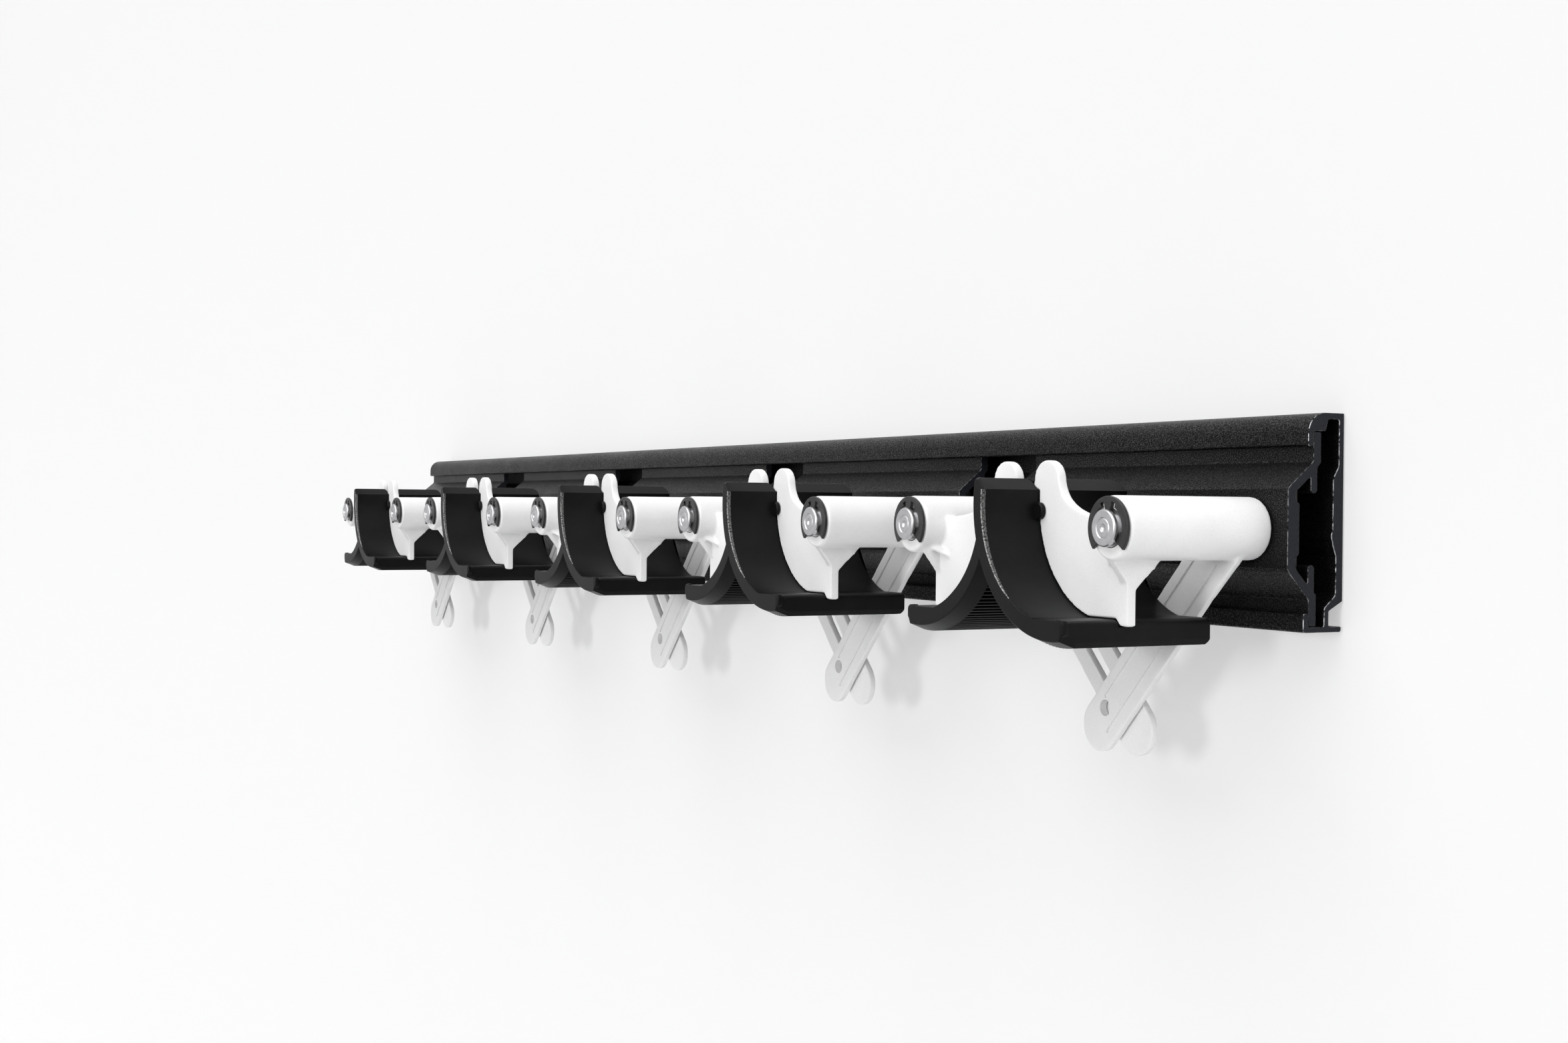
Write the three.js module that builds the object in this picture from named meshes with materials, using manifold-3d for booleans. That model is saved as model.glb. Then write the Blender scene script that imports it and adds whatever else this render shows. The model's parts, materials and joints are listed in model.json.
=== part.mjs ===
// Wall rack for five pairs of skis: pivoting jaws on carriers that hang in a wall rail.
//
// Frame: the wall is the plane Y = 0 and the rack stands out from it towards -Y. +X runs to the right along
// the rail, +Z is up, and Z = 0 is the height of the pivot pins. Lengths are in millimetres.
//
// Two local ways of measuring are used all through:
//   out   how far a point stands out from the wall, which is -Y
//   reach how far a point lies from an arm's pivot towards the other arm of its pair

import * as THREE from 'three';
import { mergeVertices } from 'three/addons/utils/BufferGeometryUtils.js';
import Module from 'manifold-3d';

const wasm = await Module();
wasm.setup();

// Driving dimensions of the row
const STATIONS = 5;
const PITCH = 203.2;
const PAIR_SPAN = 126;
const RAIL_END_MARGIN = 18.5;
const CARRIER_END_MARGIN = 18.2;

// Clearances, and how far a cut runs past what it cuts
const SLIP = 0.3;
const SEAT_GAP = 0.25;
const JAW_NIP = 0.3;
const OVERRUN = 4;

// Wall rail, an extrusion
const RAIL_TOP = 40.1;
const RAIL_BOTTOM = -35.4;
const RAIL_SKIN = 2.2;
const HOOK_OUT = 16.2;
const HOOK_ROUND = 7.4;
const HOOK_LIP_BOTTOM = 28.5;
const HOOK_LIP_THICK = 2.4;
const HOOK_BLOCK_OUT = 8.4;
const HOOK_BLOCK_SLOPE = 1.2;
const HOOK_BLOCK_DROP = 4.2;
const BAND_TOP = 21.8;
const BAND_OUT = 4.7;
const BAND_SLOPE = 4.3;
const RIDGE_Z = -2.4;
const RIDGE_RADIUS = 2;
const RIDGE_RISE = 0.6;
const LOWER_SKIN = 3.2;
const LOWER_SKIN_TOP = -9.3;
const STEP_TOP = -22.7;
const STEP_OUT = 8.3;
const STEP_DROP = 4.4;
const STEP_SKIN = 2.1;
const SHELF_THICK = 1.9;
const SHELF_BACK = 0.5;
const SHELF_LIP_OUT = 17.7;
const SHELF_LIP_THICK = 2.2;
const SHELF_LIP_RISE = 6.6;

// Carrier, an extrusion with a slot behind its face for the pin plate
const FACE_OUT = 24.8;
const FACE_TOP = 13.8;
const FACE_BOTTOM = -13.4;
const FACE_THICK = 5.2;
const FACE_CORNER = 1.4;
const FLANK_WALL = 3.2;
const LEG_THICK = 3.4;
const TOP_FLANK_END = 23.3;
const BOTTOM_FLANK_END = -24.2;
const PRONG_THICK = 2.9;
const TOP_SLOT = 5;
const TOP_PRONG_LENGTH = 5.9;
const BOTTOM_SLOT = 4;
const BOTTOM_PRONG_LENGTH = 6.9;
const RELIEF_TOP = 8.7;
const RELIEF_BOTTOM = -8.4;
const RELIEF_DEPTH = 2.8;
const RELIEF_RUN = 1.3;

// Pivot pin, turned from half-inch bar
const PIN_RADIUS = 6.35;
const PIN_GROOVE_DEPTH = 1.35;
const PIN_HEAD_LEDGE = 2;
const PIN_HEAD_THICK = 2.2;
const PIN_PROUD = 2;
const PIN_CHAMFER = 0.8;
const CENTRE_DRILL_RADIUS = 1.7;
const CENTRE_DRILL_DEPTH = 1.4;

// Pin plate in the carrier's slot
const PLATE_OVERHANG = 13;

// Retaining ring
const CLIP_THICK = 1.25;
const CLIP_BODY_GAP = 1.35;
const CLIP_NOTCH_DEPTH = 1.3;
const CLIP_MOUTH_Z = -7.3;
const CLIP_TOP_PRONG_HALF_ANGLE = 13;
const CLIP_LOW_PRONG_ANGLE = 6.5;
const CLIP_NOTCH_HALF_ANGLE = 27;
const CLIP_LOW_PRONG_TOP_ANGLE = -18;

// Arm casting
const HUB_RADIUS = 11;
const HUB_LENGTH = 60.5;
const HUB_CHAMFER = 0.8;
const HUB_JOIN = 2.2;
const WEB_FRONT_SETBACK = 9.6;
const WEB_THICK = 3.8;
const WEB_FLANK_REACH = 3;
const WEB_ARCH_Z = 3;
const WEB_ARCH_BEND = 2.6;
const FINGER_RADIUS = 7.4;
const FINGER_SETBACK = 5.5;
const FINGER_RISE = 6.5;
const FOOT_SINK = 2.2;
const FOOT_HEIGHT = 3.4;
const FOOT_WIDTH = 3.7;
const FOOT_TAPER = 2.6;
const GUSSET_THICK = 3.8;
const GUSSET_BOTTOM = -21;
const REAR_GUSSET_LENGTH = 12.8;
const FRONT_GUSSET_SETBACK = 5.2;
const FRONT_GUSSET_FOOT = 1.4;
const FIN_ANGLE = -31;
const FIN_DROP = 4.1;
const FIN_LENGTH = 8.5;
const FIN_RISE = 8;
const FIN_TIP_RISE = 0.4;
const FIN_THICK = 1.6;

// Levers of the arms
const LEVER_ANGLE = 43.5;
const LEVER_LENGTH = 104;
const LEVER_HALF_WIDTH = 9.9;
const LEVER_THICK = 3;
const LEVER_CROSS_GAP = 0.6;
const LEVER_FLARE = 0.9;
const LEVER_FLARE_START = 7;
const LEVER_FLARE_LENGTH = 19;
const REAR_LEVER_COLLAR = 3.4;
const PANEL_HALF_WIDTH = 5;
const GROOVE_WIDTH = 1.2;
const GROOVE_DEPTH = 0.8;
const GROOVE_START = 14;
const GROOVE_TIP_SETBACK = 1;
const EYE_RADIUS = 3.6;
const EYE_SETBACK = 7.5;
const EYE_OFFSET = 2.2;
const SLOT_HALF_WIDTH = 2.6;
const SLOT_START = 20;
const SLOT_TIP_SETBACK = 16;

// Jaw shoe, a round shell set off its pivot so that lifting it opens the jaw
const SHELL_CENTRE_REACH = 14;
const SHELL_CENTRE_Z = 8;
const SHELL_THICK = 7.3;
const SHELL_LIP_ANGLE = -97;
const LIP_THICK = 8.7;
const RIB_LAYER = 0.95;
const RIB_DEPTH = 0.9;
const RIB_COUNT = 24;
const RIB_CREST_SHARE = 0.3;
const SHOE_TOP = 17.2;
const SHOE_BEVEL = 4.1;
const SHOE_TOP_LAND = 1.3;
const SHOE_TOP_CORNER = 0.8;
const LIP_TIP_REACH = 7.4;
const LIP_ROUND = 1.9;
const NOSE_PROUD = 1.1;
const NOSE_THICK = 3;
const PLAIN_EDGE = 6.5;
const SHOE_LEVER_GAP = 1;
const RIGHT_SHOE_LEAD = 14.7;
const LEFT_SHOE_LEAD = 5.5;
const TOP_CORNER_CUT = 2.6;
const LIP_CORNER_CUT = 3.2;
const PEG_RADIUS = 3.4;
const PEG_THICK = 2.6;
const PEG_INSET = 1.8;
const PEG_Z = 5.5;

// How many straight stretches stand for a round one
const PIN_FACETS = 12;
const HUB_FACETS = 16;
const SHELL_FACETS = 11;
const CLIP_FACETS = 14;
const ROUND_FACETS = 10;
const END_STEPS = 6;
const BEND_STEPS = 4;

// Sizes that follow from the driving dimensions
const railLength = (STATIONS - 1) * PITCH + PAIR_SPAN + 2 * RAIL_END_MARGIN;
const carrierLength = PAIR_SPAN + 2 * CARRIER_END_MARGIN;
const blockFoot = RAIL_TOP - RAIL_SKIN - HOOK_BLOCK_DROP;
const shelfTop = RAIL_BOTTOM + SHELF_THICK;
const slotFront = FACE_OUT - FACE_THICK;
const topLegFront = HOOK_OUT - HOOK_LIP_THICK - SLIP;
const bottomLegFront = SHELF_LIP_OUT - SHELF_LIP_THICK - SLIP;
const topFlank = {
  start: [topLegFront, TOP_FLANK_END],
  end: [FACE_OUT - FACE_CORNER, FACE_TOP + FACE_CORNER],
};
const bottomFlank = {
  start: [bottomLegFront, BOTTOM_FLANK_END],
  end: [FACE_OUT - FACE_CORNER / 2, FACE_BOTTOM - FACE_CORNER],
};
const neckRadius = PIN_RADIUS - PIN_GROOVE_DEPTH;
const boreRadius = PIN_RADIUS + SLIP;
const hubBack = FACE_OUT + SLIP;
const hubFront = hubBack + HUB_LENGTH;
const clipBack = hubFront + SEAT_GAP;
const clipFront = clipBack + CLIP_THICK;
const hubJoinRadius = HUB_RADIUS - HUB_JOIN;
const webFront = hubFront - WEB_FRONT_SETBACK;
const webBack = webFront - WEB_THICK;
const webMiddle = (webBack + webFront) / 2;
const rearLeverBack = hubBack + REAR_LEVER_COLLAR;
const rearLeverFront = rearLeverBack + LEVER_THICK;
const frontLeverBack = rearLeverFront + LEVER_CROSS_GAP;
const frontLeverFront = frontLeverBack + LEVER_THICK;
const shoeBack = frontLeverFront + SHOE_LEVER_GAP;
const ribCrestRadius = PAIR_SPAN / 2 - JAW_NIP / 2 - SHELL_CENTRE_REACH;
const shellOuterRadius = ribCrestRadius - RIB_LAYER;
const shellInnerRadius = shellOuterRadius - SHELL_THICK;
const shellTopAngle = degrees(Math.asin((SHOE_TOP - SHOE_BEVEL - SHELL_CENTRE_Z) / shellInnerRadius));
const seatRadius = shellInnerRadius - SLIP;
const seatTop = SHELL_CENTRE_Z + seatRadius * Math.sin(radians(shellTopAngle));
const lipTop = SHELL_CENTRE_Z - shellOuterRadius + LIP_THICK;
const lipTopAngle = -degrees(Math.asin((SHELL_CENTRE_Z - lipTop) / shellInnerRadius));
const seatBottom = lipTop + SLIP;
const seatBottomAngle = -degrees(Math.asin((SHELL_CENTRE_Z - seatBottom) / seatRadius));
const fingerReach = PAIR_SPAN / 2 - FINGER_SETBACK - FINGER_RADIUS;
const fingerZ = SHOE_TOP + FINGER_RISE - FINGER_RADIUS;
const footBottom = lipTop - FOOT_SINK;
const footReach = WEB_FLANK_REACH + FOOT_WIDTH;
const footInner = footReach + FOOT_TAPER;

// Materials
const blackPowderCoat = new THREE.MeshStandardMaterial({ color: 0x2c2c2e, roughness: 0.62, metalness: 0.3 });
const brightSteel = new THREE.MeshStandardMaterial({ color: 0xbfc1c2, roughness: 0.3, metalness: 0.95 });
const platedSteel = new THREE.MeshStandardMaterial({ color: 0x9a9ea2, roughness: 0.45, metalness: 0.9 });
const blackSpringSteel = new THREE.MeshStandardMaterial({ color: 0x343437, roughness: 0.42, metalness: 0.6 });
const whiteCasting = new THREE.MeshStandardMaterial({ color: 0xf1f1ef, roughness: 0.48, metalness: 0.0 });
const blackPlastic = new THREE.MeshStandardMaterial({ color: 0x1c1c1e, roughness: 0.5, metalness: 0.0 });

function radians(angle) {
  return THREE.MathUtils.degToRad(angle);
}

function degrees(angle) {
  return THREE.MathUtils.radToDeg(angle);
}

// Points on an arc about (cx, cy), both ends included, angles in degrees.
function arcPoints(cx, cy, radius, startAngle, endAngle, steps) {
  const points = [];
  for (let i = 0; i <= steps; i++) {
    const angle = radians(startAngle + ((endAngle - startAngle) * i) / steps);
    points.push([cx + radius * Math.cos(angle), cy + radius * Math.sin(angle)]);
  }
  return points;
}

// Points on a quadratic curve, the start left out.
function bendPoints(start, control, end) {
  const curve = new THREE.QuadraticBezierCurve(
    new THREE.Vector2(...start), new THREE.Vector2(...control), new THREE.Vector2(...end));
  return curve.getPoints(BEND_STEPS).slice(1).map((p) => [p.x, p.y]);
}

function shapeFrom(points) {
  return new THREE.Shape(points.map(([x, y]) => new THREE.Vector2(x, y)));
}

// Points in (reach, z) laid out in (x, z) for one hand.
function handed(hand, points) {
  return points.map(([reach, z]) => [hand * reach, z]);
}

// A closed geometry as a solid that can be joined and cut.
function solidFrom(geometry) {
  const bare = geometry.clone();
  bare.deleteAttribute('normal');
  bare.deleteAttribute('uv');
  const merged = mergeVertices(bare);
  return new wasm.Manifold(new wasm.Mesh({
    numProp: 3,
    vertProperties: Float32Array.from(merged.attributes.position.array),
    triVerts: Uint32Array.from(merged.index.array),
  }));
}

function geometryFrom(solid) {
  const { vertProperties, triVerts } = solid.getMesh();
  const geometry = new THREE.BufferGeometry();
  geometry.setAttribute('position', new THREE.BufferAttribute(vertProperties, 3));
  geometry.setIndex(new THREE.BufferAttribute(triVerts, 1));
  geometry.computeVertexNormals();
  return geometry;
}

function joined(solids) {
  return solids.reduce((whole, next) => whole.add(next));
}

// A section in (out, z) drawn along X, centred on X = 0.
function alongRail(points, length) {
  const geometry = new THREE.ExtrudeGeometry(shapeFrom(points), { depth: length, bevelEnabled: false });
  const basis = new THREE.Matrix4().makeBasis(
    new THREE.Vector3(0, -1, 0), new THREE.Vector3(0, 0, 1), new THREE.Vector3(-1, 0, 0));
  return geometry.applyMatrix4(basis).translate(length / 2, 0, 0);
}

// A face in (x, z) drawn out from the wall between two distances.
function outward(points, back, front) {
  const geometry = new THREE.ExtrudeGeometry(shapeFrom(points), { depth: front - back, bevelEnabled: false });
  return geometry.rotateX(Math.PI / 2).translate(0, -back, 0);
}

// A half section in (radius, out) turned about the pivot axis.
function turned(points, facets) {
  const profile = points.map(([radius, out]) => new THREE.Vector2(radius, out));
  return new THREE.LatheGeometry(profile, facets).rotateX(Math.PI);
}

function roundBar(radius, back, front, facets) {
  return turned([[0, back], [radius, back], [radius, front], [0, front]], facets);
}

function wallRail() {
  const hookLipBack = HOOK_OUT - HOOK_LIP_THICK;
  const shelfLipBack = SHELF_LIP_OUT - SHELF_LIP_THICK;
  const stepFoot = STEP_TOP - STEP_DROP;
  const ridge = [
    [BAND_OUT, RIDGE_Z + RIDGE_RADIUS],
    [BAND_OUT + RIDGE_RISE, RIDGE_Z],
    [BAND_OUT, RIDGE_Z - RIDGE_RADIUS],
  ];
  const section = [
    [0, RAIL_TOP],
    ...arcPoints(HOOK_OUT - HOOK_ROUND, RAIL_TOP - HOOK_ROUND, HOOK_ROUND, 90, 0, END_STEPS),
    [HOOK_OUT, HOOK_LIP_BOTTOM],
    [hookLipBack, HOOK_LIP_BOTTOM],
    [hookLipBack, blockFoot],
    [HOOK_BLOCK_OUT, blockFoot],
    [HOOK_BLOCK_OUT - HOOK_BLOCK_SLOPE, RAIL_TOP - RAIL_SKIN],
    [RAIL_SKIN, RAIL_TOP - RAIL_SKIN],
    [RAIL_SKIN, BAND_TOP],
    [BAND_OUT, BAND_TOP - BAND_SLOPE],
    ...ridge,
    [LOWER_SKIN, LOWER_SKIN_TOP],
    [LOWER_SKIN, STEP_TOP],
    [STEP_OUT, stepFoot],
    [STEP_OUT, shelfTop],
    [shelfLipBack, shelfTop],
    [shelfLipBack, RAIL_BOTTOM + SHELF_LIP_RISE],
    [SHELF_LIP_OUT, RAIL_BOTTOM + SHELF_LIP_RISE],
    [SHELF_LIP_OUT, RAIL_BOTTOM],
    [SHELF_BACK, RAIL_BOTTOM],
    [SHELF_BACK, shelfTop],
    [STEP_OUT - STEP_SKIN, shelfTop],
    [STEP_OUT - STEP_SKIN, stepFoot - STEP_SKIN / 2],
    [0, STEP_TOP - STEP_SKIN],
  ];
  return alongRail(section, railLength);
}

// The point on a sloped flank's inner side that stands out by the given amount.
function insideFlank(flank, out) {
  const run = flank.end[0] - flank.start[0];
  const rise = flank.end[1] - flank.start[1];
  const wall = (FLANK_WALL * Math.hypot(run, rise)) / run;
  const towardsAxis = -Math.sign(flank.start[1]);
  return [out, flank.start[1] + (rise * (out - flank.start[0])) / run + towardsAxis * wall];
}

// Both round holes of a pair, cut through between two distances.
function pairOfHoles(body, radius, back, front) {
  let cut = body;
  for (const side of [-1, 1]) {
    const hole = roundBar(radius, back - OVERRUN, front + OVERRUN, PIN_FACETS);
    cut = cut.subtract(solidFrom(hole.translate((side * PAIR_SPAN) / 2, 0, 0)));
  }
  return cut;
}

function carrier() {
  const topLegBack = topLegFront - LEG_THICK;
  const bottomLegBack = bottomLegFront - LEG_THICK;
  const topProngFront = slotFront - TOP_SLOT;
  const bottomProngFront = slotFront - BOTTOM_SLOT;
  const topRoot = insideFlank(topFlank, topProngFront);
  const bottomRoot = insideFlank(bottomFlank, bottomProngFront);
  const topRelief = insideFlank(topFlank, slotFront + RELIEF_RUN);
  const bottomRelief = insideFlank(bottomFlank, slotFront + RELIEF_RUN);
  const reliefOut = slotFront + RELIEF_DEPTH;
  const section = [
    [topLegBack, blockFoot - SLIP],
    [topLegFront, blockFoot - SLIP],
    topFlank.start,
    topFlank.end,
    [FACE_OUT, FACE_TOP],
    [FACE_OUT, FACE_BOTTOM],
    bottomFlank.end,
    bottomFlank.start,
    [bottomLegFront, shelfTop + SLIP],
    [bottomLegBack, shelfTop + SLIP],
    [bottomLegBack, bottomRoot[1] - PRONG_THICK],
    [bottomProngFront - PRONG_THICK, bottomRoot[1] - PRONG_THICK],
    [bottomProngFront - PRONG_THICK, bottomRoot[1] + BOTTOM_PRONG_LENGTH],
    [bottomProngFront, bottomRoot[1] + BOTTOM_PRONG_LENGTH],
    bottomRoot,
    bottomRelief,
    ...bendPoints(bottomRelief, [reliefOut, bottomRelief[1] + RELIEF_DEPTH], [slotFront, RELIEF_BOTTOM]),
    [slotFront, RELIEF_TOP],
    ...bendPoints([slotFront, RELIEF_TOP], [reliefOut, topRelief[1] - RELIEF_DEPTH], topRelief),
    topRoot,
    [topProngFront, topRoot[1] - TOP_PRONG_LENGTH],
    [topProngFront - PRONG_THICK, topRoot[1] - TOP_PRONG_LENGTH],
    [topProngFront - PRONG_THICK, topRoot[1] + PRONG_THICK],
    [topLegBack, topRoot[1] + PRONG_THICK + LEG_THICK / 2],
  ];
  return geometryFrom(pairOfHoles(
    solidFrom(alongRail(section, carrierLength)), boreRadius, slotFront - OVERRUN, FACE_OUT));
}

function pinPlate() {
  const back = slotFront - BOTTOM_SLOT + SLIP;
  const front = slotFront - SLIP;
  const halfLength = PAIR_SPAN / 2 + PLATE_OVERHANG;
  const top = insideFlank(topFlank, slotFront)[1] - SLIP;
  const bottom = insideFlank(bottomFlank, slotFront)[1] + SLIP;
  const face = [[-halfLength, bottom], [halfLength, bottom], [halfLength, top], [-halfLength, top]];
  return geometryFrom(pairOfHoles(solidFrom(outward(face, back, front)), neckRadius + SLIP, back, front));
}

// The pin's neck is pressed through the plate and spread into a head behind it.
function pivotPin() {
  const headFront = slotFront - BOTTOM_SLOT;
  const headRadius = neckRadius + PIN_HEAD_LEDGE;
  const grooveFront = clipFront + SEAT_GAP;
  const pinFront = clipFront + PIN_PROUD;
  return turned([
    [0, headFront - PIN_HEAD_THICK],
    [headRadius, headFront - PIN_HEAD_THICK],
    [headRadius, headFront],
    [neckRadius, headFront],
    [neckRadius, slotFront],
    [PIN_RADIUS, slotFront],
    [PIN_RADIUS, hubFront],
    [neckRadius, hubFront],
    [neckRadius, grooveFront],
    [PIN_RADIUS, grooveFront],
    [PIN_RADIUS, pinFront - PIN_CHAMFER],
    [PIN_RADIUS - PIN_CHAMFER, pinFront],
    [CENTRE_DRILL_RADIUS, pinFront],
    [0, pinFront - CENTRE_DRILL_DEPTH],
  ], PIN_FACETS);
}

// A ring open at the bottom, with three prongs that reach into the pin's groove.
function eClip() {
  const prongRadius = neckRadius + SLIP;
  const bodyRadius = PIN_RADIUS + CLIP_BODY_GAP;
  const notchRadius = bodyRadius + CLIP_NOTCH_DEPTH;
  const mouthAngle = degrees(Math.asin(CLIP_MOUTH_Z / HUB_RADIUS));
  const notchEnd = 90 - CLIP_NOTCH_HALF_ANGLE;
  const prongSide = 90 - CLIP_TOP_PRONG_HALF_ANGLE;
  const rightInside = [
    ...arcPoints(0, 0, prongRadius, mouthAngle - CLIP_LOW_PRONG_ANGLE, CLIP_LOW_PRONG_TOP_ANGLE, 2),
    ...arcPoints(0, 0, bodyRadius, CLIP_LOW_PRONG_TOP_ANGLE, notchEnd, 3),
    ...arcPoints(0, 0, notchRadius, notchEnd, prongSide, 1),
    ...arcPoints(0, 0, prongRadius, prongSide, 90, 1),
  ];
  const leftInside = rightInside.slice(0, -1).reverse().map(([x, z]) => [-x, z]);
  const outside = arcPoints(0, 0, HUB_RADIUS - SEAT_GAP, 180 - mouthAngle, mouthAngle, CLIP_FACETS);
  return outward([...rightInside, ...leftInside, ...outside], clipBack, clipFront);
}

// A point on a lever, given by its distance from the pivot and its offset from the centre line.
function leverPoint(hand, distance, offset) {
  const angle = radians(LEVER_ANGLE);
  return [
    hand * (distance * Math.sin(angle) + offset * Math.cos(angle)),
    -distance * Math.cos(angle) + offset * Math.sin(angle),
  ];
}

function leverOutline(hand) {
  const rootHalf = LEVER_HALF_WIDTH + LEVER_FLARE;
  const flareEnd = LEVER_FLARE_START + LEVER_FLARE_LENGTH;
  const lobe = arcPoints(0, 0, LEVER_HALF_WIDTH, 90, -90, ROUND_FACETS)
    .map(([along, across]) => leverPoint(hand, LEVER_LENGTH + along, across));
  return [
    leverPoint(hand, 0, rootHalf),
    leverPoint(hand, LEVER_FLARE_START, rootHalf),
    leverPoint(hand, flareEnd, LEVER_HALF_WIDTH),
    ...lobe,
    leverPoint(hand, flareEnd, -LEVER_HALF_WIDTH),
    leverPoint(hand, LEVER_FLARE_START, -rootHalf),
    leverPoint(hand, 0, -rootHalf),
  ];
}

// A strip with rounded ends that runs along a lever, used as a cutter.
function leverStrip(hand, strip, back, front) {
  const { start, end, offset, halfWidth, endSteps } = strip;
  const tip = arcPoints(0, 0, halfWidth, 90, -90, endSteps)
    .map(([along, across]) => leverPoint(hand, end + along, offset + across));
  const root = arcPoints(0, 0, halfWidth, 270, 90, endSteps)
    .map(([along, across]) => leverPoint(hand, start + along, offset + across));
  return solidFrom(outward([...tip, ...root], back, front));
}

// The right arm's lever: a middle panel between two fine grooves, and a round eye near the lobe.
function frontLever(hand) {
  const groove = {
    start: GROOVE_START, end: LEVER_LENGTH - GROOVE_TIP_SETBACK, halfWidth: GROOVE_WIDTH / 2, endSteps: 2,
  };
  const grooveFloor = frontLeverFront - GROOVE_DEPTH;
  let lever = solidFrom(outward(leverOutline(hand), frontLeverBack, frontLeverFront));
  for (const side of [-1, 1]) {
    const strip = { ...groove, offset: side * PANEL_HALF_WIDTH };
    lever = lever.subtract(leverStrip(hand, strip, grooveFloor, frontLeverFront + OVERRUN));
  }
  const [eyeX, eyeZ] = leverPoint(hand, LEVER_LENGTH - EYE_SETBACK, EYE_OFFSET);
  const eye = roundBar(EYE_RADIUS, frontLeverBack - OVERRUN, frontLeverFront + OVERRUN, ROUND_FACETS);
  return lever.subtract(solidFrom(eye.translate(eyeX, 0, eyeZ)));
}

// The left arm's lever: two rails with an open slot between them.
function rearLever(hand) {
  const slot = {
    start: SLOT_START, end: LEVER_LENGTH - SLOT_TIP_SETBACK, offset: 0, halfWidth: SLOT_HALF_WIDTH, endSteps: 4,
  };
  const lever = solidFrom(outward(leverOutline(hand), rearLeverBack, rearLeverFront));
  return lever.subtract(leverStrip(hand, slot, rearLeverBack - OVERRUN, rearLeverFront + OVERRUN));
}

// The web carries the shoe: its edge follows the inside of the shell, its finger stands up through the shoe's
// top and its foot drops into the notch of the lip.
function web(hand) {
  const fingerFlank = [fingerReach - FINGER_RADIUS, fingerZ];
  const outline = [
    [footInner, seatBottom],
    ...arcPoints(SHELL_CENTRE_REACH, SHELL_CENTRE_Z, seatRadius, seatBottomAngle, shellTopAngle, SHELL_FACETS),
    [fingerReach + FINGER_RADIUS, seatTop],
    ...arcPoints(fingerReach, fingerZ, FINGER_RADIUS, 0, 180, END_STEPS),
    ...bendPoints(fingerFlank, [fingerFlank[0] - WEB_ARCH_BEND, WEB_ARCH_Z], [hubJoinRadius, WEB_ARCH_Z]),
    [WEB_FLANK_REACH, -hubJoinRadius],
    [WEB_FLANK_REACH, footBottom],
    [footReach, footBottom],
  ];
  return solidFrom(outward(handed(hand, outline), webBack, webFront));
}

// Upright gussets under the hub, one on each side of the web.
function gussets(hand) {
  const rear = [
    [webMiddle, -hubJoinRadius],
    [webBack - REAR_GUSSET_LENGTH, -hubJoinRadius],
    [webBack, GUSSET_BOTTOM],
    [webMiddle, GUSSET_BOTTOM],
  ];
  const front = [
    [webMiddle, -hubJoinRadius],
    [hubFront - FRONT_GUSSET_SETBACK, -hubJoinRadius],
    [webFront + FRONT_GUSSET_FOOT, GUSSET_BOTTOM + FRONT_GUSSET_FOOT],
    [webFront, GUSSET_BOTTOM],
    [webMiddle, GUSSET_BOTTOM],
  ];
  const middle = hand * (WEB_FLANK_REACH + GUSSET_THICK / 2);
  return [rear, front].map((section) => solidFrom(alongRail(section, GUSSET_THICK).translate(middle, 0, 0)));
}

// A thin fin on the web's front that leaves the hub below its axis, runs towards the shoe and dies away.
function fin(hand) {
  const tip = HUB_RADIUS + FIN_LENGTH;
  const section = [
    [hubJoinRadius, webMiddle], [tip, webMiddle], [tip, webFront + FIN_TIP_RISE],
    [hubJoinRadius, webFront + FIN_RISE]];
  const geometry = new THREE.ExtrudeGeometry(shapeFrom(section), { depth: FIN_THICK, bevelEnabled: false });
  const angle = hand > 0 ? FIN_ANGLE : 180 - FIN_ANGLE;
  geometry.translate(0, 0, hand * FIN_DROP - FIN_THICK / 2).rotateX(Math.PI).rotateY(-radians(angle));
  return solidFrom(geometry);
}

// One casting: hub, web with finger and foot, gussets and lever. hand is -1 for a right arm, whose jaw lies
// towards -X, and 1 for a left arm.
function arm(hand) {
  const hub = turned([
    [0, hubBack],
    [HUB_RADIUS, hubBack],
    [HUB_RADIUS, hubFront - HUB_CHAMFER],
    [HUB_RADIUS - HUB_CHAMFER, hubFront],
    [0, hubFront],
  ], HUB_FACETS);
  const lever = hand < 0 ? frontLever(hand) : rearLever(hand);
  const casting = joined([solidFrom(hub), web(hand), ...gussets(hand), fin(hand), lever]);
  const bore = roundBar(boreRadius, hubBack - OVERRUN, hubFront + OVERRUN, HUB_FACETS);
  return geometryFrom(casting.subtract(solidFrom(bore)));
}

function shellArc(radius, startAngle, endAngle) {
  return arcPoints(SHELL_CENTRE_REACH, SHELL_CENTRE_Z, radius, startAngle, endAngle, SHELL_FACETS);
}

function shellSection() {
  const topOuter = degrees(Math.asin((SHOE_TOP - SHOE_TOP_CORNER - SHELL_CENTRE_Z) / shellOuterRadius));
  const outside = shellArc(shellOuterRadius, topOuter, SHELL_LIP_ANGLE);
  const inside = shellArc(shellInnerRadius, lipTopAngle, shellTopAngle);
  const topReach = outside[0][0] - SHOE_TOP_CORNER;
  return [
    ...outside,
    [LIP_TIP_REACH, outside[outside.length - 1][1] + LIP_ROUND],
    [LIP_TIP_REACH, lipTop - LIP_ROUND],
    [LIP_TIP_REACH + LIP_ROUND, lipTop],
    ...inside,
    [topReach - SHOE_TOP_LAND, SHOE_TOP],
    [topReach, SHOE_TOP],
  ];
}

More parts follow.
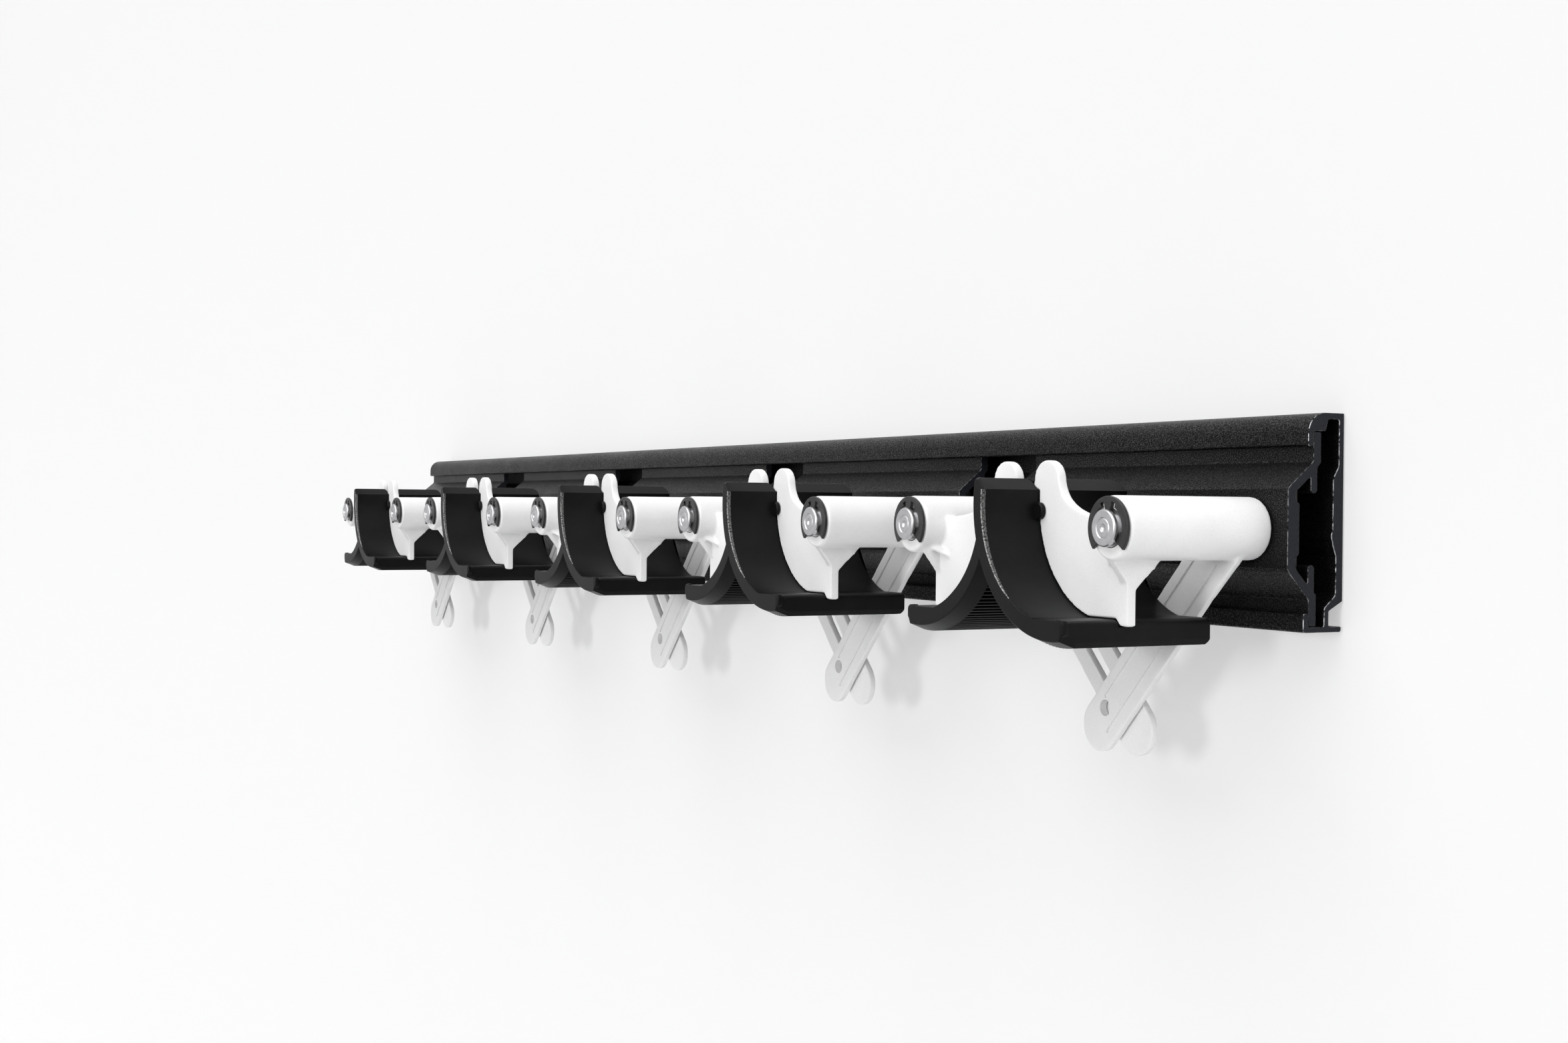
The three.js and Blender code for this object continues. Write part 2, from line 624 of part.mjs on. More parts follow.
// The hook at the front end of the lip's tip.
function noseSection() {
  const top = lipTop - LIP_ROUND / 2;
  const bottom = SHELL_CENTRE_Z - ribCrestRadius + LIP_ROUND;
  const back = LIP_TIP_REACH + NOSE_PROUD;
  const tip = LIP_TIP_REACH - NOSE_PROUD;
  return [[back, bottom], [back, top], [tip, top - LIP_ROUND / 2], [tip, bottom + LIP_ROUND / 2]];
}

// The ribbed layer: a saw-tooth edge outside the shell, one crest and one root for each rib.
function ribSection() {
  const step = (shellTopAngle - SHELL_LIP_ANGLE) / RIB_COUNT;
  const teeth = [];
  for (let rib = 0; rib < RIB_COUNT; rib++) {
    const crestAngle = shellTopAngle - (rib + RIB_CREST_SHARE) * step;
    const rootAngle = shellTopAngle - (rib + 1) * step;
    for (const [radius, angle] of [[ribCrestRadius, crestAngle], [ribCrestRadius - RIB_DEPTH, rootAngle]]) {
      teeth.push(arcPoints(SHELL_CENTRE_REACH, SHELL_CENTRE_Z, radius, angle, angle, 1)[0]);
    }
  }
  return [...teeth, ...shellArc(shellOuterRadius - RIB_LAYER, SHELL_LIP_ANGLE, shellTopAngle)];
}

// A wedge that takes the corner off the back end of the shoe at the given height.
function backCornerCut(hand, z, size, upOrDown) {
  const section = [
    [shoeBack - OVERRUN, z - upOrDown * (size + OVERRUN)],
    [shoeBack + size + OVERRUN, z + upOrDown * OVERRUN],
    [shoeBack - OVERRUN, z + upOrDown * OVERRUN],
  ];
  const wound = upOrDown > 0 ? section : section.reverse();
  return solidFrom(alongRail(wound, 2 * ribCrestRadius + OVERRUN).translate(hand * SHELL_CENTRE_REACH, 0, 0));
}

// Notches that the arm's finger and foot stand in.
function shoeNotches(hand) {
  const fingerSide = fingerReach + FINGER_RADIUS + SLIP;
  const fingerInner = fingerReach - FINGER_RADIUS - OVERRUN;
  const fingerNotch = [
    [fingerInner, seatTop - SLIP], [fingerSide, seatTop - SLIP],
    [fingerSide, SHOE_TOP + OVERRUN], [fingerInner, SHOE_TOP + OVERRUN]];
  const footNotch = [
    [0, footBottom - SLIP], [footInner + SLIP, footBottom - SLIP],
    [footInner + SLIP, footBottom + FOOT_HEIGHT], [0, footBottom + FOOT_HEIGHT]];
  return [fingerNotch, footNotch].map(
    (notch) => solidFrom(outward(handed(hand, notch), webBack - SLIP, webFront + SLIP)));
}

// A moulded shell with its ribbed gripping face, a hooked nose at the front of its lip, and a round peg that
// bears on the front of the web.
function shoe(hand) {
  const shoeFront = hubFront + (hand < 0 ? RIGHT_SHOE_LEAD : LEFT_SHOE_LEAD);
  const shell = outward(handed(hand, shellSection()), shoeBack, shoeFront);
  const nose = outward(handed(hand, noseSection()), shoeFront - NOSE_THICK, shoeFront);
  const ribs = outward(handed(hand, ribSection()), shoeBack, shoeFront - PLAIN_EDGE);
  const pegBack = webFront + SLIP;
  const pegReach = SHELL_CENTRE_REACH + shellInnerRadius - PEG_INSET;
  const peg = roundBar(PEG_RADIUS, pegBack, pegBack + PEG_THICK, ROUND_FACETS)
    .translate(hand * pegReach, 0, PEG_Z);
  const body = joined([shell, nose, ribs, peg].map(solidFrom));
  const cuts = [
    ...shoeNotches(hand),
    backCornerCut(hand, SHOE_TOP, TOP_CORNER_CUT, 1),
    backCornerCut(hand, SHELL_CENTRE_Z - ribCrestRadius, LIP_CORNER_CUT, -1),
  ];
  return geometryFrom(cuts.reduce((whole, cut) => whole.subtract(cut), body));
}

const rack = new THREE.Group();
rack.name = 'ski_wall_rack';

function place(name, geometry, material, x) {
  const mesh = new THREE.Mesh(geometry, material);
  mesh.name = name;
  mesh.position.x = x;
  rack.add(mesh);
}

place('wall_rail', wallRail(), blackPowderCoat, 0);
for (let station = 1; station <= STATIONS; station++) {
  const centre = (station - (STATIONS + 1) / 2) * PITCH;
  place(`carrier_${station}`, carrier(), blackPowderCoat, centre);
  place(`pin_plate_${station}`, pinPlate(), platedSteel, centre);
  for (const [side, hand] of [['left', 1], ['right', -1]]) {
    const pivot = centre - (hand * PAIR_SPAN) / 2;
    place(`pivot_pin_${side}_${station}`, pivotPin(), brightSteel, pivot);
    place(`e_clip_${side}_${station}`, eClip(), blackSpringSteel, pivot);
    place(`arm_${side}_${station}`, arm(hand), whiteCasting, pivot);
    place(`shoe_${side}_${station}`, shoe(hand), blackPlastic, pivot);
  }
}

export default rack;
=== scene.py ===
# Looks of a wall rack for five pairs of skis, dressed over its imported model.
#
# Frame: metres in the scene, millimetres in the sizes below. The wall is the plane Y = 0, the rack stands out
# from it towards -Y, +X runs to the right along the rail and Z = 0 is the height of the pivot pins.
#
# Two local ways of measuring are used all through:
#   out   how far a point stands out from the wall, which is -Y
#   reach how far a point lies from an arm's pivot towards the other arm of its pair

import json
from math import asin, atan2, copysign, cos, degrees, hypot, pi, radians, sin, tan

import bmesh
import bpy
from mathutils import Matrix, Vector


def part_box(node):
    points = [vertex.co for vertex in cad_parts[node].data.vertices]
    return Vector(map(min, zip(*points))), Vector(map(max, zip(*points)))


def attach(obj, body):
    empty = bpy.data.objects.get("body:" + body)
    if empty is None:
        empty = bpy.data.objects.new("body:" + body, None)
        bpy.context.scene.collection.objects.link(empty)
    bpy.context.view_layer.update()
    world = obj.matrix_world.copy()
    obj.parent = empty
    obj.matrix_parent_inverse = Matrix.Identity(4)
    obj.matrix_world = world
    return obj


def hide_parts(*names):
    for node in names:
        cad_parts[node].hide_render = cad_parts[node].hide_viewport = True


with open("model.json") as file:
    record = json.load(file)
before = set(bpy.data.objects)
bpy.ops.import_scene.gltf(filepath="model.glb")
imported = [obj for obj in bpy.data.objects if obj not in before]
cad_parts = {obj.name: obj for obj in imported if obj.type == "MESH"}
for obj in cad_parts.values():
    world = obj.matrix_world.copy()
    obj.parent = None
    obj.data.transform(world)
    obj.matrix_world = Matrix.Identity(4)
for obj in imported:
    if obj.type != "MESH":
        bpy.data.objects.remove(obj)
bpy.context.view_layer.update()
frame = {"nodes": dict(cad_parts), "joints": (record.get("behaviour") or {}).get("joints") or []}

MM = 0.001

# Camera, fitted to the photograph
CAMERA_PLACE = (985.507, -483.082, 5.513)
CAMERA_YAW = 62.016
CAMERA_PITCH = 0.385
CAMERA_ROLL = 0.522
CAMERA_LENS = 44.28
SENSOR_WIDTH = 36.0
CAMERA_NEAR = 10.0
CAMERA_FAR = 60000.0

# Room
ROOM_LEFT = -9000.0
ROOM_RIGHT = 5000.0
ROOM_FRONT = -7000.0
ROOM_TOP = 4000.0
FLOOR_Z = -1600.0
WALL_BEHIND = 0.6

# Clearances and the overrun of cutters
SLIP = 0.3
SEAT_GAP = 0.25
OVERRUN = 4.0

# Wall rail section
RAIL_TOP = 40.1
RAIL_BOTTOM = -35.4
RAIL_SKIN = 2.2
HOOK_OUT = 16.2
HOOK_ROUND = 7.4
HOOK_LIP_BOTTOM = 28.5
HOOK_LIP_THICK = 2.4
HOOK_BLOCK_OUT = 8.4
HOOK_BLOCK_SLOPE = 1.2
HOOK_BLOCK_DROP = 4.2
BAND_TOP = 21.8
BAND_OUT = 4.7
BAND_SLOPE = 4.3
RIDGE_Z = -2.4
RIDGE_HALF_WIDTH = 2.0
RIDGE_RISE = 0.6
RIDGE_HALF_ANGLE = 33
LOWER_SKIN = 3.2
LOWER_SKIN_TOP = -9.3
STEP_TOP = -22.7
STEP_OUT = 8.3
STEP_DROP = 4.4
STEP_SKIN = 2.1
SHELF_THICK = 1.9
SHELF_BACK = 0.5
SHELF_LIP_OUT = 17.7
SHELF_LIP_THICK = 2.2
SHELF_LIP_RISE = 6.6
RAIL_FINE_ROUND = 0.35
RAIL_SMALL_ROUND = 0.8
RAIL_SOFT_ROUND = 2.0

# Carrier section
FACE_OUT = 24.8
FACE_TOP = 13.8
FACE_BOTTOM = -13.4
FACE_THICK = 5.2
FACE_CORNER = 1.4
FLANK_WALL = 3.2
LEG_THICK = 3.4
TOP_FLANK_END = 23.3
BOTTOM_FLANK_END = -24.2
PRONG_THICK = 2.9
TOP_SLOT = 5.0
TOP_PRONG_LENGTH = 5.9
BOTTOM_SLOT = 4.0
BOTTOM_PRONG_LENGTH = 6.9
RELIEF_TOP = 8.7
RELIEF_BOTTOM = -8.4
RELIEF_DEPTH = 2.8
RELIEF_RUN = 1.3
CARRIER_SMALL_ROUND = 0.5
CARRIER_SOFT_ROUND = 1.6
PLATE_EDGE = 0.3

# Cut ends of rail and carriers
CUT_EDGE = 0.22
END_FACE_SHARE = 0.02
END_TOLERANCE = 0.02

# Pivot pin and its retaining ring
PIN_RADIUS = 6.35
PIN_GROOVE_DEPTH = 1.35
PIN_HEAD_LEDGE = 2.0
PIN_HEAD_THICK = 2.2
PIN_PROUD = 2.0
PIN_CHAMFER = 0.8
PIN_CORNER = 0.25
FACE_RING_RADIUS = 3.0
FACE_RING_WIDTH = 0.7
FACE_RING_DEPTH = 0.3
CENTRE_DRILL_RADIUS = 1.5
CENTRE_DRILL_DEPTH = 0.8
CLIP_THICK = 1.25
CLIP_BODY_GAP = 1.35
CLIP_NOTCH_DEPTH = 1.3
CLIP_MOUTH_Z = -7.3
CLIP_TOP_PRONG_HALF_ANGLE = 13
CLIP_LOW_PRONG_ANGLE = 6.5
CLIP_NOTCH_HALF_ANGLE = 27
CLIP_LOW_PRONG_TOP_ANGLE = -18
CLIP_BACK_EDGE = 0.15
CLIP_FRONT_EDGE = 0.25

# Arm casting
HUB_RADIUS = 11.0
HUB_LENGTH = 60.5
HUB_CHAMFER = 0.8
HUB_JOIN = 2.2
WEB_FRONT_SETBACK = 9.6
WEB_THICK = 3.8
WEB_FLANK_REACH = 3.0
WEB_ARCH_Z = 3.0
WEB_ARCH_BEND = 2.6
FINGER_RADIUS = 7.4
FINGER_SETBACK = 5.5
FINGER_RISE = 6.5
FOOT_SINK = 2.2
FOOT_HEIGHT = 3.4
FOOT_WIDTH = 3.7
FOOT_TAPER = 2.6
GUSSET_THICK = 3.8
REAR_GUSSET_LENGTH = 12.8
REAR_GUSSET_BOTTOM = -21.0
FRONT_GUSSET_SETBACK = 1.8
FRONT_GUSSET_BOTTOM = -18.8
TAB_SETBACK = 4.6
TAB_WIDTH = 4.2
TAB_DROP = 5.2
TAB_PROUD = 0.4
TAB_TAPER_SHARE = 0.2
FIN_ANGLE = -31
FIN_DROP = 4.1
FIN_LENGTH = 6.5
FIN_RISE = 6.5
FIN_TIP_RISE = 0.4
FIN_THICK = 1.4

# Levers of the arms
LEVER_ANGLE = 43.5
LEVER_LENGTH = 103.9
LEVER_HALF_WIDTH = 9.9
LEVER_THICK = 3.0
LEVER_CROSS_GAP = 0.6
LEVER_FLARE = 0.9
LEVER_FLARE_START = 7.0
LEVER_FLARE_LENGTH = 19.0
REAR_LEVER_COLLAR = 3.4
PANEL_HALF_WIDTH = 5.0
GROOVE_WIDTH = 1.4
GROOVE_DEPTH = 0.6
GROOVE_START = 14.0
UPPER_GROOVE_SETBACK = 11.0
LOWER_GROOVE_SETBACK = 2.5
EYE_RADIUS = 3.1
EYE_SETBACK = 7.5
EYE_OFFSET = 2.2
SLOT_HALF_WIDTH = 2.6
SLOT_START = 20.0
SLOT_TIP_SETBACK = 16.0

# Jaw shoe
SHELL_CENTRE_REACH = 14.0
SHELL_CENTRE_Z = 8.0
RIB_CREST_RADIUS = 48.85
SHELL_THICK = 8.25
SHELL_LIP_ANGLE = -97
LIP_THICK = 8.7
RIB_DEPTH = 1.5
RIB_COUNT = 46
RIB_SHARES = ((0.2, 0.0), (0.32, 0.12), (0.4, 0.8), (0.5, 1.0),
              (0.72, 1.0), (0.82, 0.8), (0.9, 0.12), (0.999, 0.0))
RIB_BACK_EDGE = 0.5
RIM_TAPER = 2.1
SHELL_OUTER_RADIUS = 47.95
SHOE_TOP = 17.2
SHOE_BEVEL = 4.1
SHOE_TOP_LAND = 1.3
SHOE_TOP_CORNER = 0.8
SHOE_TOP_ROUND = 0.7
LIP_TIP_REACH = 7.4
LIP_ROUND = 1.9
NOSE_PROUD = 1.1
NOSE_THICK = 3.0
NOSE_BACK_EDGE = 1.0
NOSE_FRONT_EDGE = 0.7
PLAIN_EDGE = 6.5
SHOE_LEVER_GAP = 1.0
RIGHT_SHOE_LEAD = 14.7
LEFT_SHOE_LEAD = 5.5
TOP_CORNER_CUT = 3.4
LIP_CORNER_CUT = 3.6
FRONT_CORNER_CUT = 1.6
NOTCH_CORNER_CUT = 1.8
WORN_EDGE_WIDTH = 1.25
WORN_EDGE_SHIFT = 1.9
WORN_LINE_WIDTH = 0.3
WORN_LINE_SHARE = 0.6
WORN_EDGE_ANGLE = 2
WORN_EDGE_END = 3.0
PEG_RADIUS = 3.1
PEG_THICK = 1.7
PEG_INSET = 1.6
PEG_EDGE = 0.4
PEG_Z = 5.5
RIM_EDGE = 0.6

# Wear, from 0 for none to 1 for bare; on the cut edges of rail and carriers it also holds painted highlight
RAIL_END_WEAR_AND_HIGHLIGHT = 1.0
CARRIER_END_WEAR_AND_HIGHLIGHT = 0.35
END_WEAR_LEAST = 0.12
# Painted highlight: how fast a cut-edge face brightens as it turns to face out from the wall
END_HIGHLIGHT_GAIN = 1.6
WORN_LINE_WEAR = 1.0
WORN_BAND_WEAR = 0.28

# Fineness of curves, in steps
CORNER_STEPS = 5
ARC_STEPS = 48
EDGE_STEPS = 3
CUT_EDGE_STEPS = 2
TURN_STEPS = 72
HOLE_STEPS = 40
HOOK_STEPS = 18
RIDGE_STEPS = 8
PIN_CHAMFER_STEPS = 6
CLIP_LOW_PRONG_STEPS = 8
CLIP_TOP_PRONG_STEPS = 5
CLIP_BODY_STEPS = 18
CLIP_NOTCH_STEPS = 4
CLIP_RIM_STEPS = 64
LOBE_STEPS = 32
FINGER_STEPS = 24
STRIP_STEPS = 12
CORNER_CUT_STEPS = 10

# Smoothing of the castings, and the angles from which an edge counts as sharp
CAST_VOXEL = 0.5
CAST_SMOOTHING = 7
CAST_SMOOTHING_SHARE = 0.5
CAST_DETAIL_SHARE = 0.3
EXTRUDED_SHARP_ANGLE = 30
TURNED_SHARP_ANGLE = 28
PRESSED_SHARP_ANGLE = 40
CAST_SHARP_ANGLE = 35
MOULDED_SHARP_ANGLE = 28
NORMAL_WEIGHT = 60

# Limits that keep a rounded corner and a mitre in shape
CORNER_RUN_SHARE = 0.48
MITRE_FLOOR = 0.5

# Sizes that follow
rail_low, rail_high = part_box("wall_rail")
rail_length = (rail_high.x - rail_low.x) / MM
carrier_low, carrier_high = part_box("carrier_1")
carrier_length = (carrier_high.x - carrier_low.x) / MM
joints = {joint["child"]: joint for joint in frame["joints"]}
stations = sorted({int(body.rsplit("_", 1)[1]) for body in joints})


def pivot_x(side, station):
    return joints[f"jaw_{side}_{station}"]["pos_m"][0]


pair_span = (pivot_x("right", 1) - pivot_x("left", 1)) / MM
block_foot = RAIL_TOP - RAIL_SKIN - HOOK_BLOCK_DROP
shelf_top = RAIL_BOTTOM + SHELF_THICK
slot_front = FACE_OUT - FACE_THICK
hook_back = HOOK_OUT - HOOK_LIP_THICK
shelf_back = SHELF_LIP_OUT - SHELF_LIP_THICK
top_leg_front = hook_back - SLIP
bottom_leg_front = shelf_back - SLIP
top_flank = ((top_leg_front, TOP_FLANK_END), (FACE_OUT - FACE_CORNER, FACE_TOP + FACE_CORNER))
bottom_flank = ((bottom_leg_front, BOTTOM_FLANK_END), (FACE_OUT - FACE_CORNER / 2, FACE_BOTTOM - FACE_CORNER))
neck_radius = PIN_RADIUS - PIN_GROOVE_DEPTH
bore_radius = PIN_RADIUS + SLIP
hub_back = FACE_OUT + SLIP
hub_front = hub_back + HUB_LENGTH
clip_back = hub_front + SEAT_GAP
clip_front = clip_back + CLIP_THICK
hub_join_radius = HUB_RADIUS - HUB_JOIN
web_front = hub_front - WEB_FRONT_SETBACK
web_back = web_front - WEB_THICK
web_middle = (web_back + web_front) / 2
rear_lever_back = hub_back + REAR_LEVER_COLLAR
rear_lever_front = rear_lever_back + LEVER_THICK
front_lever_back = rear_lever_front + LEVER_CROSS_GAP
front_lever_front = front_lever_back + LEVER_THICK
shoe_back = front_lever_front + SHOE_LEVER_GAP
shell_inner_radius = RIB_CREST_RADIUS - SHELL_THICK
shell_top_angle = degrees(asin((SHOE_TOP - SHOE_BEVEL - SHELL_CENTRE_Z) / shell_inner_radius))
seat_radius = shell_inner_radius - SLIP
seat_top = SHELL_CENTRE_Z + seat_radius * sin(radians(shell_top_angle))
lip_top = SHELL_CENTRE_Z - SHELL_OUTER_RADIUS + LIP_THICK
lip_top_angle = -degrees(asin((SHELL_CENTRE_Z - lip_top) / shell_inner_radius))
seat_bottom = lip_top + SLIP
seat_bottom_angle = -degrees(asin((SHELL_CENTRE_Z - seat_bottom) / seat_radius))
finger_reach = pair_span / 2 - FINGER_SETBACK - FINGER_RADIUS
finger_z = SHOE_TOP + FINGER_RISE - FINGER_RADIUS
foot_bottom = lip_top - FOOT_SINK
foot_reach = WEB_FLANK_REACH + FOOT_WIDTH
foot_inner = foot_reach + FOOT_TAPER


# Outlines

def arc(cx, cy, radius, start, end, steps):
    """Points on an arc about (cx, cy), both ends included, angles in degrees."""
    angles = [radians(start + (end - start) * i / steps) for i in range(steps + 1)]
    return [(cx + radius * cos(a), cy + radius * sin(a)) for a in angles]


def shell_arc(radius, start, end, steps=ARC_STEPS):
    return arc(SHELL_CENTRE_REACH, SHELL_CENTRE_Z, radius, start, end, steps)


def shell_point(radius, angle):
    angle = radians(angle)
    return (SHELL_CENTRE_REACH + radius * cos(angle), SHELL_CENTRE_Z + radius * sin(angle))


def bend(start, control, end, steps=CORNER_STEPS * 2):
    """Points on a quadratic curve, the start left out."""
    points = []
    for i in range(1, steps + 1):
        t = i / steps
        points.append(tuple((1 - t) ** 2 * a + 2 * t * (1 - t) * b + t * t * c
                            for a, b, c in zip(start, control, end)))
    return points


def rounded(corners, steps=CORNER_STEPS):
    """An outline whose corners (x, y, radius) are rounded; corners without a radius stay."""
    points = []
    for i, corner in enumerate(corners):
        here = Vector(corner[:2])
        if len(corner) < 3:
            points.append(tuple(here))
            continue
        before = Vector(corners[i - 1][:2]) - here
        after = Vector(corners[(i + 1) % len(corners)][:2]) - here
        half = before.angle(after) / 2
        run = min(corner[2] / tan(half), CORNER_RUN_SHARE * min(before.length, after.length))
        radius = run * tan(half)
        before.normalize()
        after.normalize()
        centre = here + (before + after).normalized() * (radius / sin(half))
        first = here + before * run - centre
        last = here + after * run - centre
        start = atan2(first.y, first.x)
        turn = (atan2(last.y, last.x) - start + pi) % (2 * pi) - pi
        for k in range(steps + 1):
            a = start + turn * k / steps
            points.append((centre.x + radius * cos(a), centre.y + radius * sin(a)))
    return points


def inset(points, amount):
    """The outline drawn in by an amount, each point along its own mitre."""
    twice_area = sum(a[0] * b[1] - b[0] * a[1] for a, b in zip(points, points[1:] + points[:1]))
    side = copysign(1, twice_area)  # +1 where the points run anticlockwise
    drawn = []
    for i, here in enumerate(points):
        here = Vector(here)
        a = (here - Vector(points[i - 1])).normalized()
        b = (Vector(points[(i + 1) % len(points)]) - here).normalized()
        na = Vector((-a.y, a.x)) * side
        nb = Vector((-b.y, b.x)) * side
        mitre = (na + nb) / max(1 + na.dot(nb), MITRE_FLOOR)
        drawn.append(tuple(here + mitre * amount))
    return drawn


def handed(points, hand):
    """An outline in (reach, z) turned to the side that an arm reaches to."""
    return [(hand * reach, z) for reach, z in points]


# Meshes

def add_object(name, data):
    obj = bpy.data.objects.new(name, data)
    bpy.context.scene.collection.objects.link(obj)
    return obj


def mesh_object(name, points, faces):
    """A closed mesh object from points in millimetres."""
    mesh = bpy.data.meshes.new(name)
    bm = bmesh.new()
    vertices = [bm.verts.new([c * MM for c in p]) for p in points]
    for face in faces:
        bm.faces.new([vertices[i] for i in face])
    bmesh.ops.recalc_face_normals(bm, faces=bm.faces)
    bm.to_mesh(mesh)
    bm.free()
    return add_object(name, mesh)


def ring_faces(rings):
    """Quads between rings of equal length, and a cap at each end."""
    count = len(rings[0])
    last = (len(rings) - 1) * count
    faces = []
    for low in range(0, last, count):
        high = low + count
        for i in range(count):
            j = (i + 1) % count
            faces.append((low + i, low + j, high + j, high + i))
    faces.append(tuple(range(count)))
    faces.append(tuple(range(last, last + count)))
    return faces


def lofted(name, levels, place):
    """A closed body through levels of (outline, depth); place turns a point and its depth into x, y, z."""
    rings = [[place(u, v, depth) for u, v in outline] for outline, depth in levels]
    return mesh_object(name, [p for ring in rings for p in ring], ring_faces(rings))


def edge_levels(outline, depth, edge, side, steps=EDGE_STEPS):
    """The levels of a rounded end edge, from the end inwards; side is the way in along the depth."""
    if not edge:
        return [(outline, depth)]
    turns = [radians(90 * k / steps) for k in range(steps)]
    levels = [(inset(outline, edge * (1 - sin(a))), depth + side * edge * (1 - cos(a))) for a in turns]
    return [*levels, (outline, depth + side * edge)]


def extruded(name, outline, back, front, place, back_edge=0.0, front_edge=0.0, steps=EDGE_STEPS):
    """An outline drawn between two depths, with rounded end edges where they are asked for."""
    back_levels = edge_levels(outline, back, back_edge, 1, steps)
    front_levels = edge_levels(outline, front, front_edge, -1, steps)
    return lofted(name, back_levels + front_levels[::-1], place)


def along_rail(out, z, x):
    return (x, -out, z)


def outward(x, z, out):
    return (x, -out, z)


def upward(x, out, z):
    return (x, -out, z)


def turned(name, profile, steps=TURN_STEPS):
    """A profile of (radius, out) turned about the pivot axis; it starts and ends on the axis."""
    points, faces, rows = [], [], []
    for radius, out in profile:
        if radius == 0:
            rows.append([len(points)])
            points.append((0.0, -out, 0.0))
            continue
        rows.append(list(range(len(points), len(points) + steps)))
        for k in range(steps):
            a = 2 * pi * k / steps
            points.append((radius * cos(a), -out, radius * sin(a)))
    for low, high in zip(rows, rows[1:]):
        for k in range(steps):
            j = (k + 1) % steps
            if len(low) == 1:
                faces.append((low[0], high[k], high[j]))
            elif len(high) == 1:
                faces.append((low[k], low[j], high[0]))
            else:
                faces.append((low[k], low[j], high[j], high[k]))
    return mesh_object(name, points, faces)


def round_bar(name, radius, back, front, steps=TURN_STEPS):
    return turned(name, [(0, back), (radius, back), (radius, front), (0, front)], steps)


def moved(obj, x, z=0.0):
    """The object with its mesh moved along the rail and up, in millimetres."""
    obj.data.transform(Matrix.Translation((x * MM, 0, z * MM)))
    return obj


def applied(obj):
    """The object with its modifiers turned into its mesh."""
    graph = bpy.context.evaluated_depsgraph_get()
    mesh = bpy.data.meshes.new_from_object(obj.evaluated_get(graph))
    old = obj.data
    obj.modifiers.clear()
    obj.data = mesh
    bpy.data.meshes.remove(old)
    return obj


def combined(body, others, operation):
    """Joins or cuts closed bodies; the others are used up."""
    for other in others:
        modifier = body.modifiers.new("combine", "BOOLEAN")
        modifier.solver = "MANIFOLD"
        modifier.operation = operation
        modifier.object = other
        applied(body)
        bpy.data.objects.remove(other)
    return body


def smooth_by_angle(obj, angle):
    """Shades a mesh smooth, but for edges that turn by more than the angle."""
    obj.data.shade_smooth()
    obj.data.set_sharp_from_angle(angle=radians(angle))
    return obj


def paint_wear_and_highlight(obj, amount):
    """Writes how worn each face of a mesh is, together with any painted highlight; amount takes its centre in
    millimetres and its normal.
    """
    layer = obj.data.attributes.new("wear_and_highlight", "FLOAT", "FACE")
    for face in obj.data.polygons:
        layer.data[face.index].value = amount(face.center / MM, face.normal)
    return obj


# Colours

COAT_DARK = (0.002, 0.002, 0.0022)
COAT_LIGHT = (0.006, 0.006, 0.0063)
COAT_CUT_END = (0.016, 0.017, 0.021)
# Bare metal on worn edges; also the colour of the painted highlight on cut edges that face out from the wall
COAT_WORN_AND_HIGHLIGHT = (0.72, 0.73, 0.75)
COAT_WORN_METAL_SHARE = 0.6
COAT_END_SHEEN = (0.1, 0.1, 0.1)
CAST_DARK = (0.88, 0.88, 0.875)
CAST_LIGHT = (0.91, 0.91, 0.905)
CAST_SPECK = (0.62, 0.62, 0.62)
SHOE_DARK = (0.002, 0.002, 0.0021)
SHOE_LIGHT = (0.005, 0.005, 0.0053)
SHOE_WORN = (0.5, 0.5, 0.49)
STEEL_DARK = (0.4, 0.4, 0.41)
STEEL_LIGHT = (0.62, 0.62, 0.63)
DARK_STEEL_BLUE = 1.02
WALL_TONE = (0.83, 0.83, 0.835)
FLOOR_TONE = (0.62, 0.62, 0.62)
ROOM_LIGHT = (0.95, 0.96, 0.98)
ROOM_TONE = (0.82, 0.82, 0.83)

# Stage and lamps; each lamp has a name, the direction it comes from, its strength and its width in degrees
WALL_LIFT = 0.45
FLOOR_LIFT = 0.2
STAGE_ROUGHNESS = 0.9
STAGE_SHEEN = 0.1
ROOM_STRENGTH = 0.23
LAMPS = (
    ("above", (-0.1, -0.75, 1.0), 1.5, 50),
    ("front", (0.2, -1.0, 0.1), 0.98, 14),
    ("side", (0.78, -0.4, 0.65), 1.25, 60),
)


# Material nodes

def new_material(name):
    material = bpy.data.materials.new(name)
    material.use_nodes = True
    tree = material.node_tree
    return material, tree, tree.nodes["Principled BSDF"]


def object_coordinates(tree):
    return tree.nodes.new("ShaderNodeTexCoord").outputs["Object"]


def noise(tree, scale, detail=3.0, roughness=0.55):
    """Noise that stays put on the object, with so many cells to a metre."""
    made = tree.nodes.new("ShaderNodeTexNoise")
    made.inputs["Scale"].default_value = scale
    made.inputs["Detail"].default_value = detail
    made.inputs["Roughness"].default_value = roughness
    tree.links.new(object_coordinates(tree), made.inputs["Vector"])
    return made.outputs["Fac"]


def ramp(tree, value, start, end, first=0.0, last=1.0):
    """A grey that runs from first to last while the value runs from start to end."""
    made = tree.nodes.new("ShaderNodeValToRGB")
    for element, position, tone in zip(made.color_ramp.elements, (start, end), (first, last)):
        element.position = position
        element.color = (tone, tone, tone, 1)
    tree.links.new(value, made.inputs["Fac"])
    return made.outputs["Color"]


def math_node(tree, operation, *values, clamp=False):
    """A sum on numbers and on the outputs of other nodes."""
    made = tree.nodes.new("ShaderNodeMath")
    made.operation = operation
    made.use_clamp = clamp
    for socket, value in zip(made.inputs, values):
        if isinstance(value, (int, float)):
            socket.default_value = value
        else:
            tree.links.new(value, socket)
    return made.outputs[0]


